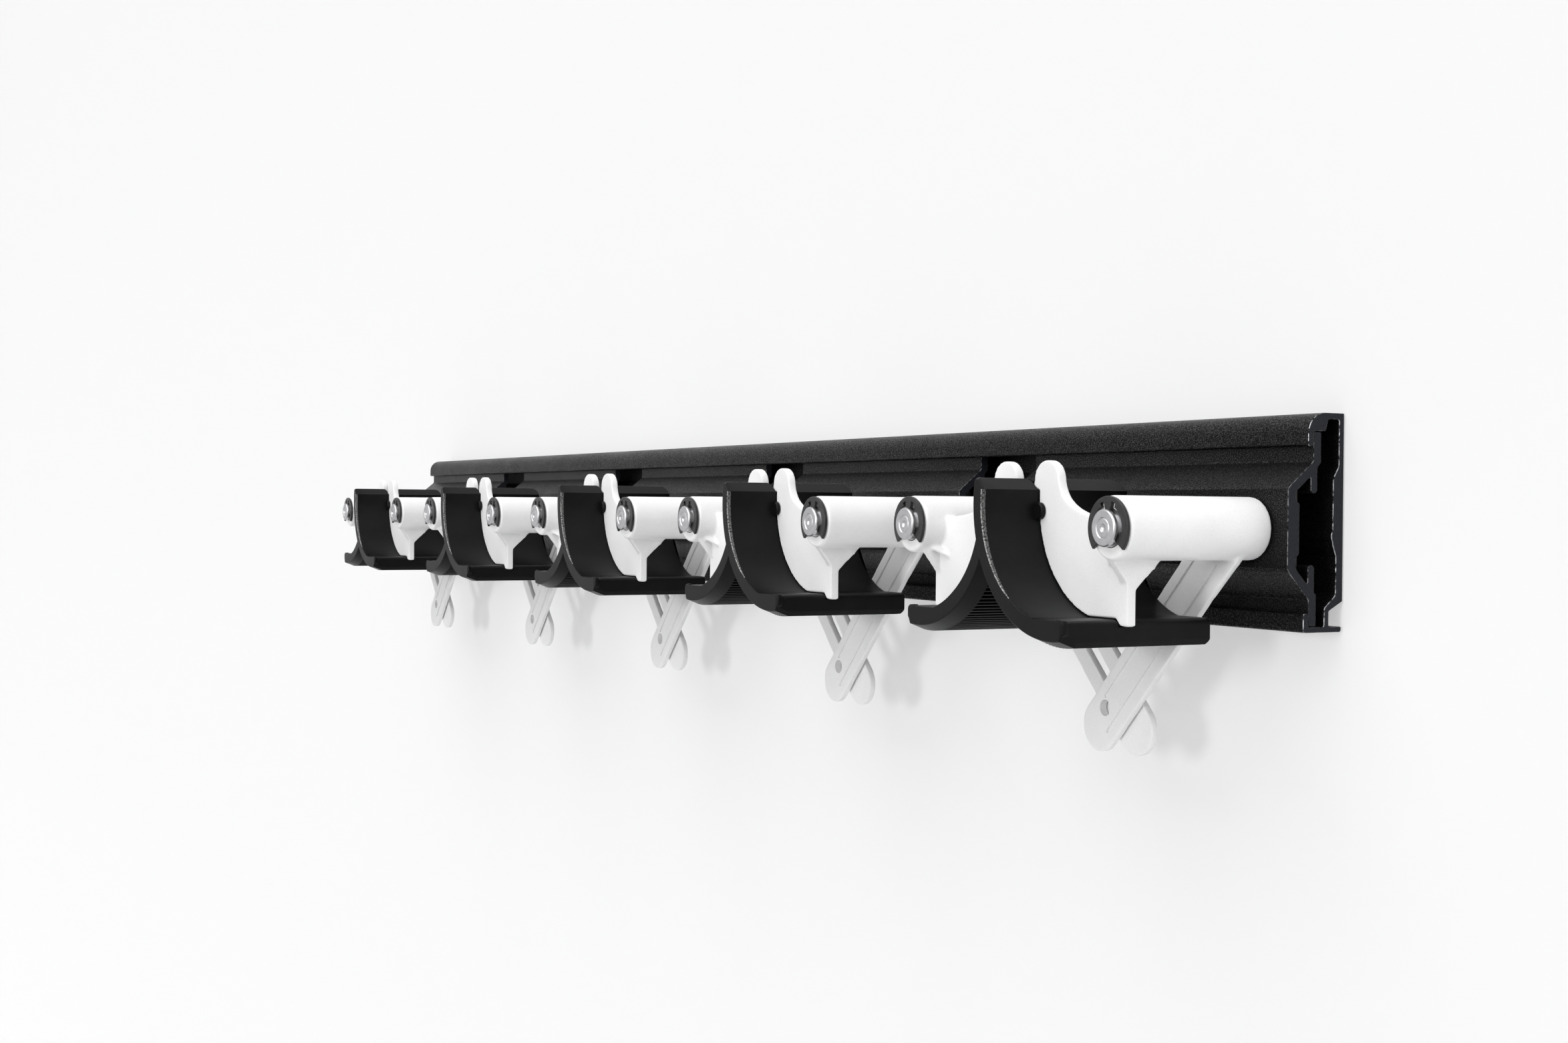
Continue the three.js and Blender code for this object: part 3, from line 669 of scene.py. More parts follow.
def mixed(tree, factor, first, second):
    """A mix of two colours, each a plain one or the output of another node."""
    made = tree.nodes.new("ShaderNodeMix")
    made.data_type = "RGBA"
    tree.links.new(factor, made.inputs["Factor"])
    for name, value in (("A", first), ("B", second)):
        socket = [s for s in made.inputs if s.name == name and s.type == "RGBA"][0]
        if isinstance(value, tuple):
            socket.default_value = (*value, 1)
        else:
            tree.links.new(value, socket)
    return [s for s in made.outputs if s.type == "RGBA"][0]


def mixed_shader(tree, factor, first, second):
    """A mix of two shader nodes; the factor is the share of the second."""
    made = tree.nodes.new("ShaderNodeMixShader")
    for source, socket in zip((factor, first.outputs[0], second.outputs[0]), made.inputs):
        tree.links.new(source, socket)
    return made


def clouded(tree, cloud, dark, light):
    """A colour that drifts between a dark and a light tone."""
    return mixed(tree, ramp(tree, cloud, start=0.35, end=0.65), dark, light)


def roughen(tree, shader, cloud, low, high):
    """Lets the roughness drift between two values."""
    drift = ramp(tree, cloud, start=0.3, end=0.7, first=low, last=high)
    tree.links.new(drift, shader.inputs["Roughness"])


def bump(tree, shader, height, strength, depth):
    """Raises the surface with a pattern whose depth is in millimetres."""
    made = tree.nodes.new("ShaderNodeBump")
    made.inputs["Strength"].default_value = strength
    made.inputs["Distance"].default_value = depth * MM
    tree.links.new(height, made.inputs["Height"])
    tree.links.new(made.outputs["Normal"], shader.inputs["Normal"])


def wear_and_highlight_share(tree, broken):
    """How bare the surface is, plus any painted highlight: the wear and painted highlight written on the
    mesh, broken up by a pattern.
    """
    wear_and_highlight = tree.nodes.new("ShaderNodeAttribute")
    wear_and_highlight.attribute_name = "wear_and_highlight"
    return math_node(tree, "MULTIPLY", wear_and_highlight.outputs["Fac"], broken, clamp=True)


# Materials

def powder_coat(half_length):
    """Black textured coat on an extrusion; the cut ends show a flatter blue-grey and bright worn edges, made
    brighter still by painted highlight where they face out from the wall.
    """
    material, tree, shader = new_material(f"black_powder_coat_{round(half_length)}")
    split = tree.nodes.new("ShaderNodeSeparateXYZ")
    tree.links.new(object_coordinates(tree), split.inputs[0])
    from_middle = math_node(tree, "ABSOLUTE", split.outputs["X"])
    at_end = math_node(tree, "COMPARE", from_middle, half_length * MM, END_TOLERANCE * MM)
    grain = noise(tree, scale=1900.0, detail=2.0, roughness=0.5)
    cloud = noise(tree, scale=35.0, detail=2.0)
    coat = mixed(tree, ramp(tree, grain, start=0.4, end=0.65), COAT_DARK, COAT_LIGHT)
    coat = mixed(tree, at_end, coat, COAT_CUT_END)
    broken = ramp(tree, noise(tree, scale=420.0, detail=5.0, roughness=0.7), start=0.44, end=0.56)
    wear_and_highlight_level = wear_and_highlight_share(tree, broken)
    # Bare metal where worn, and painted highlight where the cut edges face out from the wall
    tree.links.new(mixed(tree, wear_and_highlight_level, coat, COAT_WORN_AND_HIGHLIGHT), shader.inputs["Base Color"])
    tree.links.new(math_node(tree, "MULTIPLY", wear_and_highlight_level, COAT_WORN_METAL_SHARE), shader.inputs["Metallic"])
    roughen(tree, shader, cloud, low=0.28, high=0.36)
    glints = noise(tree, scale=2300.0, detail=1.0)
    sparkle = ramp(tree, glints, start=0.5, end=0.62, first=0.05, last=0.5)
    tree.links.new(mixed(tree, at_end, sparkle, COAT_END_SHEEN), shader.inputs["Specular IOR Level"])
    bump(tree, shader, grain, strength=0.9, depth=0.28)
    return material


def white_cast():
    """White finish on the castings, faintly clouded, with fine dark specks and a slight peel."""
    material, tree, shader = new_material("white_casting")
    cloud = noise(tree, scale=60.0)
    grit = noise(tree, scale=2200.0, detail=1.0)
    speck = ramp(tree, grit, start=0.3, end=0.48, first=0.2, last=0.0)
    tint = clouded(tree, cloud, CAST_DARK, CAST_LIGHT)
    tree.links.new(mixed(tree, speck, tint, CAST_SPECK), shader.inputs["Base Color"])
    roughen(tree, shader, cloud, low=0.36, high=0.46)
    bump(tree, shader, noise(tree, scale=700.0, detail=2.0), strength=0.12, depth=0.1)
    return material


def shoe_plastic():
    """Black moulded plastic, rubbed pale in specks where it is worn."""
    material, tree, shader = new_material("black_shoe")
    cloud = noise(tree, scale=45.0)
    broken = ramp(tree, noise(tree, scale=1500.0, detail=6.0, roughness=0.75), start=0.42, end=0.6)
    body = clouded(tree, cloud, SHOE_DARK, SHOE_LIGHT)
    tree.links.new(mixed(tree, wear_and_highlight_share(tree, broken), body, SHOE_WORN), shader.inputs["Base Color"])
    roughen(tree, shader, cloud, low=0.36, high=0.46)
    shader.inputs["Specular IOR Level"].default_value = 0.13
    bump(tree, shader, noise(tree, scale=800.0, detail=4.0), strength=0.25, depth=0.08)
    return material


def turned_steel():
    """Bright steel with fine rings about the pin's axis."""
    material, tree, shader = new_material("bright_steel")
    rings = tree.nodes.new("ShaderNodeTexWave")
    rings.wave_type = "RINGS"
    rings.rings_direction = "Y"
    rings.inputs["Scale"].default_value = 300.0
    rings.inputs["Distortion"].default_value = 0.4
    tree.links.new(object_coordinates(tree), rings.inputs["Vector"])
    cloud = noise(tree, scale=300.0)
    tree.links.new(mixed(tree, cloud, STEEL_DARK, STEEL_LIGHT), shader.inputs["Base Color"])
    shader.inputs["Metallic"].default_value = 0.95
    roughen(tree, shader, cloud, low=0.24, high=0.4)
    bump(tree, shader, rings.outputs["Fac"], strength=0.5, depth=0.05)
    return material


def dark_steel(name, dark, light, metallic, rough_low, rough_high):
    """Steel under a dark finish that drifts between two greys."""
    material, tree, shader = new_material(name)
    cloud = noise(tree, scale=260.0, detail=4.0)
    colours = [(tone, tone, tone * DARK_STEEL_BLUE) for tone in (dark, light)]
    tree.links.new(clouded(tree, cloud, *colours), shader.inputs["Base Color"])
    shader.inputs["Metallic"].default_value = metallic
    roughen(tree, shader, cloud, rough_low, rough_high)
    bump(tree, shader, noise(tree, scale=1400.0), strength=0.15, depth=0.03)
    return material


# Rail and carriers

def inside_flank(flank, out):
    """The point on a sloped flank's inner side that stands out by the given amount."""
    run = flank[1][0] - flank[0][0]
    rise = flank[1][1] - flank[0][1]
    wall = FLANK_WALL * hypot(run, rise) / run
    towards_axis = -copysign(1, flank[0][1])
    return (out, flank[0][1] + rise * (out - flank[0][0]) / run + towards_axis * wall)


def rail_section():
    """The rail's section in (out, z): hook at the top, ridge on the band, upturned lip at the bottom."""
    fine, small, soft = RAIL_FINE_ROUND, RAIL_SMALL_ROUND, RAIL_SOFT_ROUND
    step_foot = STEP_TOP - STEP_DROP
    ridge_radius = (RIDGE_HALF_WIDTH ** 2 + RIDGE_RISE ** 2) / (2 * RIDGE_RISE)
    ridge_centre = BAND_OUT + RIDGE_RISE - ridge_radius
    return rounded([
        (0, RAIL_TOP, fine),
        *arc(HOOK_OUT - HOOK_ROUND, RAIL_TOP - HOOK_ROUND, HOOK_ROUND, 90, 0, HOOK_STEPS),
        (HOOK_OUT, HOOK_LIP_BOTTOM, small),
        (hook_back, HOOK_LIP_BOTTOM, small),
        (hook_back, block_foot, small),
        (HOOK_BLOCK_OUT, block_foot, small),
        (HOOK_BLOCK_OUT - HOOK_BLOCK_SLOPE, RAIL_TOP - RAIL_SKIN, small),
        (RAIL_SKIN, RAIL_TOP - RAIL_SKIN, small),
        (RAIL_SKIN, BAND_TOP, soft),
        (BAND_OUT, BAND_TOP - BAND_SLOPE, soft),
        *arc(ridge_centre, RIDGE_Z, ridge_radius, RIDGE_HALF_ANGLE, -RIDGE_HALF_ANGLE, RIDGE_STEPS),
        (BAND_OUT, RIDGE_Z - RIDGE_HALF_WIDTH - small, soft),
        (LOWER_SKIN, LOWER_SKIN_TOP, soft),
        (LOWER_SKIN, STEP_TOP, soft),
        (STEP_OUT, step_foot, soft),
        (STEP_OUT, shelf_top, small),
        (shelf_back, shelf_top, small),
        (shelf_back, RAIL_BOTTOM + SHELF_LIP_RISE, small),
        (SHELF_LIP_OUT, RAIL_BOTTOM + SHELF_LIP_RISE, small),
        (SHELF_LIP_OUT, RAIL_BOTTOM, small),
        (SHELF_BACK, RAIL_BOTTOM, small),
        (SHELF_BACK, shelf_top, fine),
        (STEP_OUT - STEP_SKIN, shelf_top, small),
        (STEP_OUT - STEP_SKIN, step_foot - STEP_SKIN / 2, small),
        (0, STEP_TOP - STEP_SKIN, fine),
    ])


def carrier_section():
    """A carrier's section in (out, z): flat front, sloped flanks, two legs and the T-slot's prongs."""
    small, soft, tip = CARRIER_SMALL_ROUND, CARRIER_SOFT_ROUND, PRONG_THICK / 2
    top_leg_back = top_leg_front - LEG_THICK
    bottom_leg_back = bottom_leg_front - LEG_THICK
    top_prong_front = slot_front - TOP_SLOT
    bottom_prong_front = slot_front - BOTTOM_SLOT
    top_root = inside_flank(top_flank, top_prong_front)
    bottom_root = inside_flank(bottom_flank, bottom_prong_front)
    top_relief = inside_flank(top_flank, slot_front + RELIEF_RUN)
    bottom_relief = inside_flank(bottom_flank, slot_front + RELIEF_RUN)
    relief_out = slot_front + RELIEF_DEPTH
    top_tip = top_root[1] - TOP_PRONG_LENGTH
    bottom_tip = bottom_root[1] + BOTTOM_PRONG_LENGTH
    return rounded([
        (top_leg_back, block_foot - SLIP, small),
        (top_leg_front, block_foot - SLIP, small),
        (*top_flank[0], soft),
        (*top_flank[1], small),
        (FACE_OUT, FACE_TOP, small),
        (FACE_OUT, FACE_BOTTOM, small),
        (*bottom_flank[1], small),
        (*bottom_flank[0], soft),
        (bottom_leg_front, shelf_top + SLIP, small),
        (bottom_leg_back, shelf_top + SLIP, small),
        (bottom_leg_back, bottom_root[1] - PRONG_THICK, small),
        (bottom_prong_front - PRONG_THICK, bottom_root[1] - PRONG_THICK, soft),
        (bottom_prong_front - PRONG_THICK, bottom_tip, tip),
        (bottom_prong_front, bottom_tip, tip),
        (*bottom_root, small),
        (*bottom_relief, small),
        *bend(bottom_relief, (relief_out, bottom_relief[1] + RELIEF_DEPTH), (slot_front, RELIEF_BOTTOM)),
        (slot_front, RELIEF_TOP),
        *bend((slot_front, RELIEF_TOP), (relief_out, top_relief[1] - RELIEF_DEPTH), top_relief),
        (*top_root, small),
        (top_prong_front, top_tip, tip),
        (top_prong_front - PRONG_THICK, top_tip, tip),
        (top_prong_front - PRONG_THICK, top_root[1] + PRONG_THICK, soft),
        (top_leg_back, top_root[1] + PRONG_THICK + LEG_THICK / 2, small),
    ])


def extrusion(name, section, length, wear_and_highlight_level):
    """A long extrusion with finely broken cut edges, worn bright, and with painted highlight making the edges
    that face out from the wall the brightest.
    """
    obj = extruded(name, section, -length / 2, length / 2, along_rail, CUT_EDGE, CUT_EDGE, CUT_EDGE_STEPS)

    def amount(place, normal):
        from_end = length / 2 - abs(place.x)
        on_edge = CUT_EDGE * END_FACE_SHARE < from_end < CUT_EDGE
        # Painted highlight: faces turned out from the wall get up to the full amount; the rest keep
        # END_WEAR_LEAST of real wear
        return wear_and_highlight_level * max(END_WEAR_LEAST, min(1.0, -END_HIGHLIGHT_GAIN * normal.y)) if on_edge else 0.0

    return paint_wear_and_highlight(obj, amount)


def carrier_shape():
    """A carrier with the two holes that its pins pass through."""
    body = extrusion("carrier_shape", carrier_section(), carrier_length, CARRIER_END_WEAR_AND_HIGHLIGHT)
    holes = [moved(round_bar("hole", bore_radius, slot_front - OVERRUN, FACE_OUT + OVERRUN, HOLE_STEPS),
                   side * pair_span / 2) for side in (-1, 1)]
    return smooth_by_angle(combined(body, holes, "DIFFERENCE"), EXTRUDED_SHARP_ANGLE)


# Pins and rings

def pin():
    """A pin with its tail in the T-slot, a groove for its ring and a face with a turned ring in it."""
    head_front = slot_front - BOTTOM_SLOT
    head_radius = neck_radius + PIN_HEAD_LEDGE
    groove_front = clip_front + SEAT_GAP
    pin_front = clip_front + PIN_PROUD
    ring_floor = pin_front - FACE_RING_DEPTH
    centre_face = pin_front - FACE_RING_DEPTH / 3
    profile = [
        (0, head_front - PIN_HEAD_THICK),
        (head_radius - PIN_CORNER, head_front - PIN_HEAD_THICK),
        (head_radius, head_front - PIN_HEAD_THICK + PIN_CORNER),
        (head_radius, head_front),
        (neck_radius, head_front),
        (neck_radius, slot_front),
        (PIN_RADIUS, slot_front),
        (PIN_RADIUS, hub_front),
        (neck_radius, hub_front),
        (neck_radius, groove_front),
        (PIN_RADIUS - PIN_CORNER, groove_front),
        (PIN_RADIUS, groove_front + PIN_CORNER),
        *arc(PIN_RADIUS - PIN_CHAMFER, pin_front - PIN_CHAMFER, PIN_CHAMFER, 0, 90, PIN_CHAMFER_STEPS),
        (FACE_RING_RADIUS + FACE_RING_WIDTH, pin_front),
        (FACE_RING_RADIUS + FACE_RING_WIDTH / 2, ring_floor),
        (FACE_RING_RADIUS, centre_face),
        (CENTRE_DRILL_RADIUS, centre_face),
        (CENTRE_DRILL_RADIUS / 2, pin_front - CENTRE_DRILL_DEPTH),
        (0, pin_front - CENTRE_DRILL_DEPTH - PIN_CORNER),
    ]
    return smooth_by_angle(turned("pin", profile), TURNED_SHARP_ANGLE)


def clip():
    """A retaining ring, open at the bottom, with one prong at the top and one at each side of the mouth."""
    prong_radius = neck_radius + SLIP
    body_radius = PIN_RADIUS + CLIP_BODY_GAP
    notch_radius = body_radius + CLIP_NOTCH_DEPTH
    mouth_angle = degrees(asin(CLIP_MOUTH_Z / HUB_RADIUS))
    notch_end = 90 - CLIP_NOTCH_HALF_ANGLE
    prong_side = 90 - CLIP_TOP_PRONG_HALF_ANGLE
    right = [
        *arc(0, 0, prong_radius, mouth_angle - CLIP_LOW_PRONG_ANGLE, CLIP_LOW_PRONG_TOP_ANGLE,
             CLIP_LOW_PRONG_STEPS),
        *arc(0, 0, body_radius, CLIP_LOW_PRONG_TOP_ANGLE, notch_end, CLIP_BODY_STEPS),
        *arc(0, 0, notch_radius, notch_end, prong_side, CLIP_NOTCH_STEPS),
        *arc(0, 0, prong_radius, prong_side, 90, CLIP_TOP_PRONG_STEPS),
    ]
    left = handed(right[-2::-1], -1)
    outside = arc(0, 0, HUB_RADIUS - SEAT_GAP, 180 - mouth_angle, mouth_angle, CLIP_RIM_STEPS)
    ring = extruded("clip", right + left + outside, clip_back, clip_front, outward,
                    CLIP_BACK_EDGE, CLIP_FRONT_EDGE)
    return smooth_by_angle(ring, PRESSED_SHARP_ANGLE)


# Arm casting

def lever_point(hand, distance, offset):
    """A point on a lever, given by its distance from the pivot and its offset from the centre line."""
    angle = radians(LEVER_ANGLE)
    return (hand * (distance * sin(angle) + offset * cos(angle)),
            -distance * cos(angle) + offset * sin(angle))


def lever_outline(hand):
    """A lever from above the pivot to its round lobe, a little wider where it leaves the hub."""
    root_half = LEVER_HALF_WIDTH + LEVER_FLARE
    flare_end = LEVER_FLARE_START + LEVER_FLARE_LENGTH
    outline = [
        (0, root_half),
        (LEVER_FLARE_START, root_half),
        (flare_end, LEVER_HALF_WIDTH),
        *arc(LEVER_LENGTH, 0, LEVER_HALF_WIDTH, 90, -90, LOBE_STEPS),
        (flare_end, -LEVER_HALF_WIDTH),
        (LEVER_FLARE_START, -root_half),
        (0, -root_half),
    ]
    return [lever_point(hand, *point) for point in outline]


def lever_strip(hand, start, end, offset, half_width, back, front):
    """A strip with round ends that runs along a lever, used as a cutter."""
    outline = [*arc(end, offset, half_width, 90, -90, STRIP_STEPS),
               *arc(start, offset, half_width, 270, 90, STRIP_STEPS)]
    return extruded("strip", [lever_point(hand, *point) for point in outline], back, front, outward)


def web(hand):
    """The plate that carries the shoe: seat, finger at the top, arch back to the hub, and foot."""
    flank = (finger_reach - FINGER_RADIUS, finger_z)
    outline = [
        (foot_inner, seat_bottom),
        *shell_arc(seat_radius, seat_bottom_angle, shell_top_angle),
        (finger_reach + FINGER_RADIUS, seat_top),
        *arc(finger_reach, finger_z, FINGER_RADIUS, 0, 180, FINGER_STEPS),
        *bend(flank, (flank[0] - WEB_ARCH_BEND, WEB_ARCH_Z), (hub_join_radius, WEB_ARCH_Z)),
        (WEB_FLANK_REACH, -hub_join_radius),
        (WEB_FLANK_REACH, foot_bottom),
        (foot_reach, foot_bottom),
    ]
    return extruded("web", handed(outline, hand), web_back, web_front, outward)


def gusset(hand, root, foot, bottom):
    """A rib under the hub, from its root on the hub down to its foot on the web."""
    outline = [(web_middle, -hub_join_radius), (root, -hub_join_radius), (foot, bottom), (web_middle, bottom)]
    half = GUSSET_THICK / 2
    return moved(extruded("gusset", outline, -half, half, along_rail), hand * (WEB_FLANK_REACH + half))


def tab(hand):
    """A faint tab on the outer side of the rear gusset, close under the hub."""
    top = -hub_join_radius
    front = web_back - TAB_SETBACK
    back = front - TAB_WIDTH
    taper = TAB_WIDTH * TAB_TAPER_SHARE
    outline = [(front, top), (back, top), (back + taper, top - TAB_DROP), (front - taper, top - TAB_DROP)]
    return moved(extruded("tab", outline, -TAB_PROUD, TAB_PROUD, along_rail), hand * WEB_FLANK_REACH)


def fin(hand):
    """A thin fin on the web's front that leaves the hub below its axis and dies away towards the shoe."""
    tip = HUB_RADIUS + FIN_LENGTH
    section = [(hub_join_radius, web_middle), (tip, web_middle), (tip, web_front + FIN_TIP_RISE),
               (hub_join_radius, web_front + FIN_RISE)]
    piece = extruded("fin", section, -FIN_THICK / 2, FIN_THICK / 2, upward)
    moved(piece, 0, -hand * FIN_DROP)
    angle = FIN_ANGLE if hand > 0 else 180 - FIN_ANGLE
    piece.data.transform(Matrix.Rotation(-radians(angle), 4, "Y"))
    return piece


def hub():
    """The tube that turns on the pin, still without its bore."""
    return turned("arm", [
        (0, hub_back),
        (HUB_RADIUS - HUB_CHAMFER / 2, hub_back),
        (HUB_RADIUS, hub_back + HUB_CHAMFER / 2),
        (HUB_RADIUS, hub_front - HUB_CHAMFER),
        (HUB_RADIUS - HUB_CHAMFER, hub_front),
        (0, hub_front),
    ])


def grown_together(body):
    """The joined forms with soft fillets between them and soft edges, as a casting has."""
    grow = body.modifiers.new("grow", "REMESH")
    grow.mode = "VOXEL"
    grow.voxel_size = CAST_VOXEL * MM
    soften = body.modifiers.new("soften", "SMOOTH")
    soften.factor = CAST_SMOOTHING_SHARE
    soften.iterations = CAST_SMOOTHING
    lighten = body.modifiers.new("lighten", "DECIMATE")
    lighten.ratio = CAST_DETAIL_SHARE
    return applied(body)


def panel_cutters(hand):
    """The two grooves that frame the front lever's panel, and the eye in its lobe."""
    floor = front_lever_front - GROOVE_DEPTH
    grooves = [lever_strip(hand, GROOVE_START, LEVER_LENGTH - setback, offset, GROOVE_WIDTH / 2,
                           floor, front_lever_front + OVERRUN)
               for offset, setback in ((-PANEL_HALF_WIDTH, LOWER_GROOVE_SETBACK),
                                       (PANEL_HALF_WIDTH, UPPER_GROOVE_SETBACK))]
    eye = round_bar("eye", EYE_RADIUS, front_lever_back - OVERRUN, front_lever_front + OVERRUN)
    return [*grooves, moved(eye, *lever_point(hand, LEVER_LENGTH - EYE_SETBACK, EYE_OFFSET))]


def arm(hand):
    """One casting: the right arm's lever is in front with a panel, the left arm's is behind with a slot."""
    cutters = [round_bar("bore", bore_radius, hub_back - OVERRUN, hub_front + OVERRUN)]
    if hand < 0:
        lever = extruded("lever", lever_outline(hand), front_lever_back, front_lever_front, outward)
        cutters += panel_cutters(hand)
    else:
        lever = extruded("lever", lever_outline(hand), rear_lever_back, rear_lever_front, outward)
        slot = lever_strip(hand, SLOT_START, LEVER_LENGTH - SLOT_TIP_SETBACK, 0, SLOT_HALF_WIDTH,
                           rear_lever_back - OVERRUN, rear_lever_front + OVERRUN)
        combined(lever, [slot], "DIFFERENCE")
    forms = [
        web(hand),
        gusset(hand, web_back - REAR_GUSSET_LENGTH, web_back, REAR_GUSSET_BOTTOM),
        gusset(hand, hub_front - FRONT_GUSSET_SETBACK, web_front, FRONT_GUSSET_BOTTOM),
        tab(hand),
        fin(hand),
        lever,
    ]
    body = grown_together(combined(hub(), forms, "UNION"))
    return smooth_by_angle(combined(body, cutters, "DIFFERENCE"), CAST_SHARP_ANGLE)


# Jaw shoe

def top_angle(radius):
    """The angle at which a circle about the shell's centre comes up to the shoe's top corner."""
    return degrees(asin((SHOE_TOP - SHOE_TOP_CORNER - SHELL_CENTRE_Z) / radius))


def shoe_section(outside):
    """The shell's section in (reach, z), closed on the inside from the lip's tip to the top."""
    top_reach = outside[0][0] - SHOE_TOP_CORNER
    return rounded([
        *outside,
        (LIP_TIP_REACH, outside[-1][1] + LIP_ROUND, LIP_ROUND),
        (LIP_TIP_REACH, lip_top - LIP_ROUND / 2, LIP_ROUND),
        (LIP_TIP_REACH + LIP_ROUND, lip_top, LIP_ROUND),
        *shell_arc(shell_inner_radius, lip_top_angle, shell_top_angle),
        (top_reach - SHOE_TOP_LAND, SHOE_TOP, SHOE_TOP_ROUND),
        (top_reach, SHOE_TOP, SHOE_TOP_ROUND),
    ])


def ribbed_outside():
    """Fine ribs with narrow rounded crests and deep roots, from the top down to the lip."""
    high = top_angle(RIB_CREST_RADIUS)
    step = (high - SHELL_LIP_ANGLE) / RIB_COUNT
    points = [shell_point(RIB_CREST_RADIUS, high)]
    for rib in range(RIB_COUNT):
        for run_share, depth_share in RIB_SHARES:
            radius = RIB_CREST_RADIUS - RIB_DEPTH * depth_share
            points.append(shell_point(radius, high - (rib + run_share) * step))
    return [*points, shell_point(RIB_CREST_RADIUS, SHELL_LIP_ANGLE)]


def corner_cutter(hand, out, z, size, out_side, z_side):
    """Rounds off a corner of the shoe, seen from the side; the sides, +1 or -1, say where it points."""
    centre = (out - out_side * size, z - z_side * size)
    start = 0 if out_side > 0 else 180
    far_out = out + out_side * OVERRUN
    far_z = z + z_side * OVERRUN
    outline = [
        *arc(*centre, size, start, start + 90 * out_side * z_side, CORNER_CUT_STEPS),
        (centre[0], far_z),
        (far_out, far_z),
        (far_out, centre[1]),
    ]
    half = RIB_CREST_RADIUS + OVERRUN
    return moved(extruded("corner", outline, -half, half, along_rail), hand * SHELL_CENTRE_REACH)


def worn_edge_cutter(hand, front):
    """Takes the worn inner edge off the shoe's front: widest near the top and dying away down the side."""
    cut = shell_inner_radius + WORN_EDGE_WIDTH - WORN_EDGE_SHIFT
    cone = turned("worn_edge", [
        (0, front - cut),
        (cut - WORN_LINE_WIDTH, front - WORN_LINE_WIDTH),
        (cut + OVERRUN, front + OVERRUN),
        (0, front + OVERRUN),
    ], TURN_STEPS * 2)
    angle = radians(WORN_EDGE_ANGLE)
    moved(cone, hand * (SHELL_CENTRE_REACH + WORN_EDGE_SHIFT * cos(angle)),
          SHELL_CENTRE_Z + WORN_EDGE_SHIFT * sin(angle))
    top = SHOE_TOP - SHOE_BEVEL
    low = lip_top + WORN_EDGE_END
    keep = extruded("keep", [(-2 * cut, low), (2 * cut, low), (2 * cut, top), (-2 * cut, top)],
                    front - 2 * OVERRUN, front + OVERRUN, outward)
    combined(cone, [keep], "INTERSECT")

    def amount(place, normal):
        on_line = -place.y > front - WORN_LINE_WIDTH * WORN_LINE_SHARE
        return WORN_LINE_WEAR if on_line else WORN_BAND_WEAR

    return paint_wear_and_highlight(cone, amount)


def shoe_rim(hand, shoe_front):
    """The plain front part of the shell, which tapers to the front and has a rounded edge there."""
    rim_back = shoe_front - PLAIN_EDGE
    wide, narrow = (
        handed(shoe_section(shell_arc(radius, top_angle(radius), SHELL_LIP_ANGLE, ARC_STEPS * 2)), hand)
        for radius in (RIB_CREST_RADIUS, RIB_CREST_RADIUS - RIM_TAPER))
    back_levels = [(inset(wide, RIM_EDGE / 2), rim_back), (wide, rim_back + RIM_EDGE / 2)]
    front_levels = edge_levels(narrow, shoe_front, RIM_EDGE, -1)
    return paint_wear_and_highlight(lofted("shoe", back_levels + front_levels[::-1], outward), lambda place, normal: 0.0)


def nose(hand, shoe_front):
    """The hook at the tip of the lip, at the shoe's front."""
    root = LIP_TIP_REACH + NOSE_PROUD * 3
    tip = LIP_TIP_REACH - NOSE_PROUD
    top = lip_top + NOSE_PROUD / 3
    bottom = SHELL_CENTRE_Z - RIB_CREST_RADIUS + RIM_TAPER + LIP_ROUND
    outline = rounded([(root, bottom), (root, top), (tip, top, LIP_ROUND), (tip, bottom, LIP_ROUND)])
    return extruded("nose", handed(outline, hand), shoe_front - NOSE_THICK, shoe_front - SLIP / 2, outward,
                    NOSE_BACK_EDGE, NOSE_FRONT_EDGE)


def peg(hand):
    """The round peg inside the shell, in front of the web."""
    back = web_front + SLIP
    front = back + PEG_THICK
    profile = [(0, back), (PEG_RADIUS, back), (PEG_RADIUS, front - PEG_EDGE), (PEG_RADIUS - PEG_EDGE, front),
               (0, front)]
    reach = SHELL_CENTRE_REACH + shell_inner_radius - PEG_INSET
    return moved(turned("peg", profile, HOLE_STEPS), hand * reach, PEG_Z)


def notch(hand, inner, outer, bottom, top):
    """A cutter for a notch in the shell that the arm's web reaches through."""
    outline = [(inner, bottom), (outer, bottom), (outer, top), (inner, top)]
    return extruded("notch", handed(outline, hand), web_back - SLIP, web_front + SLIP, outward)


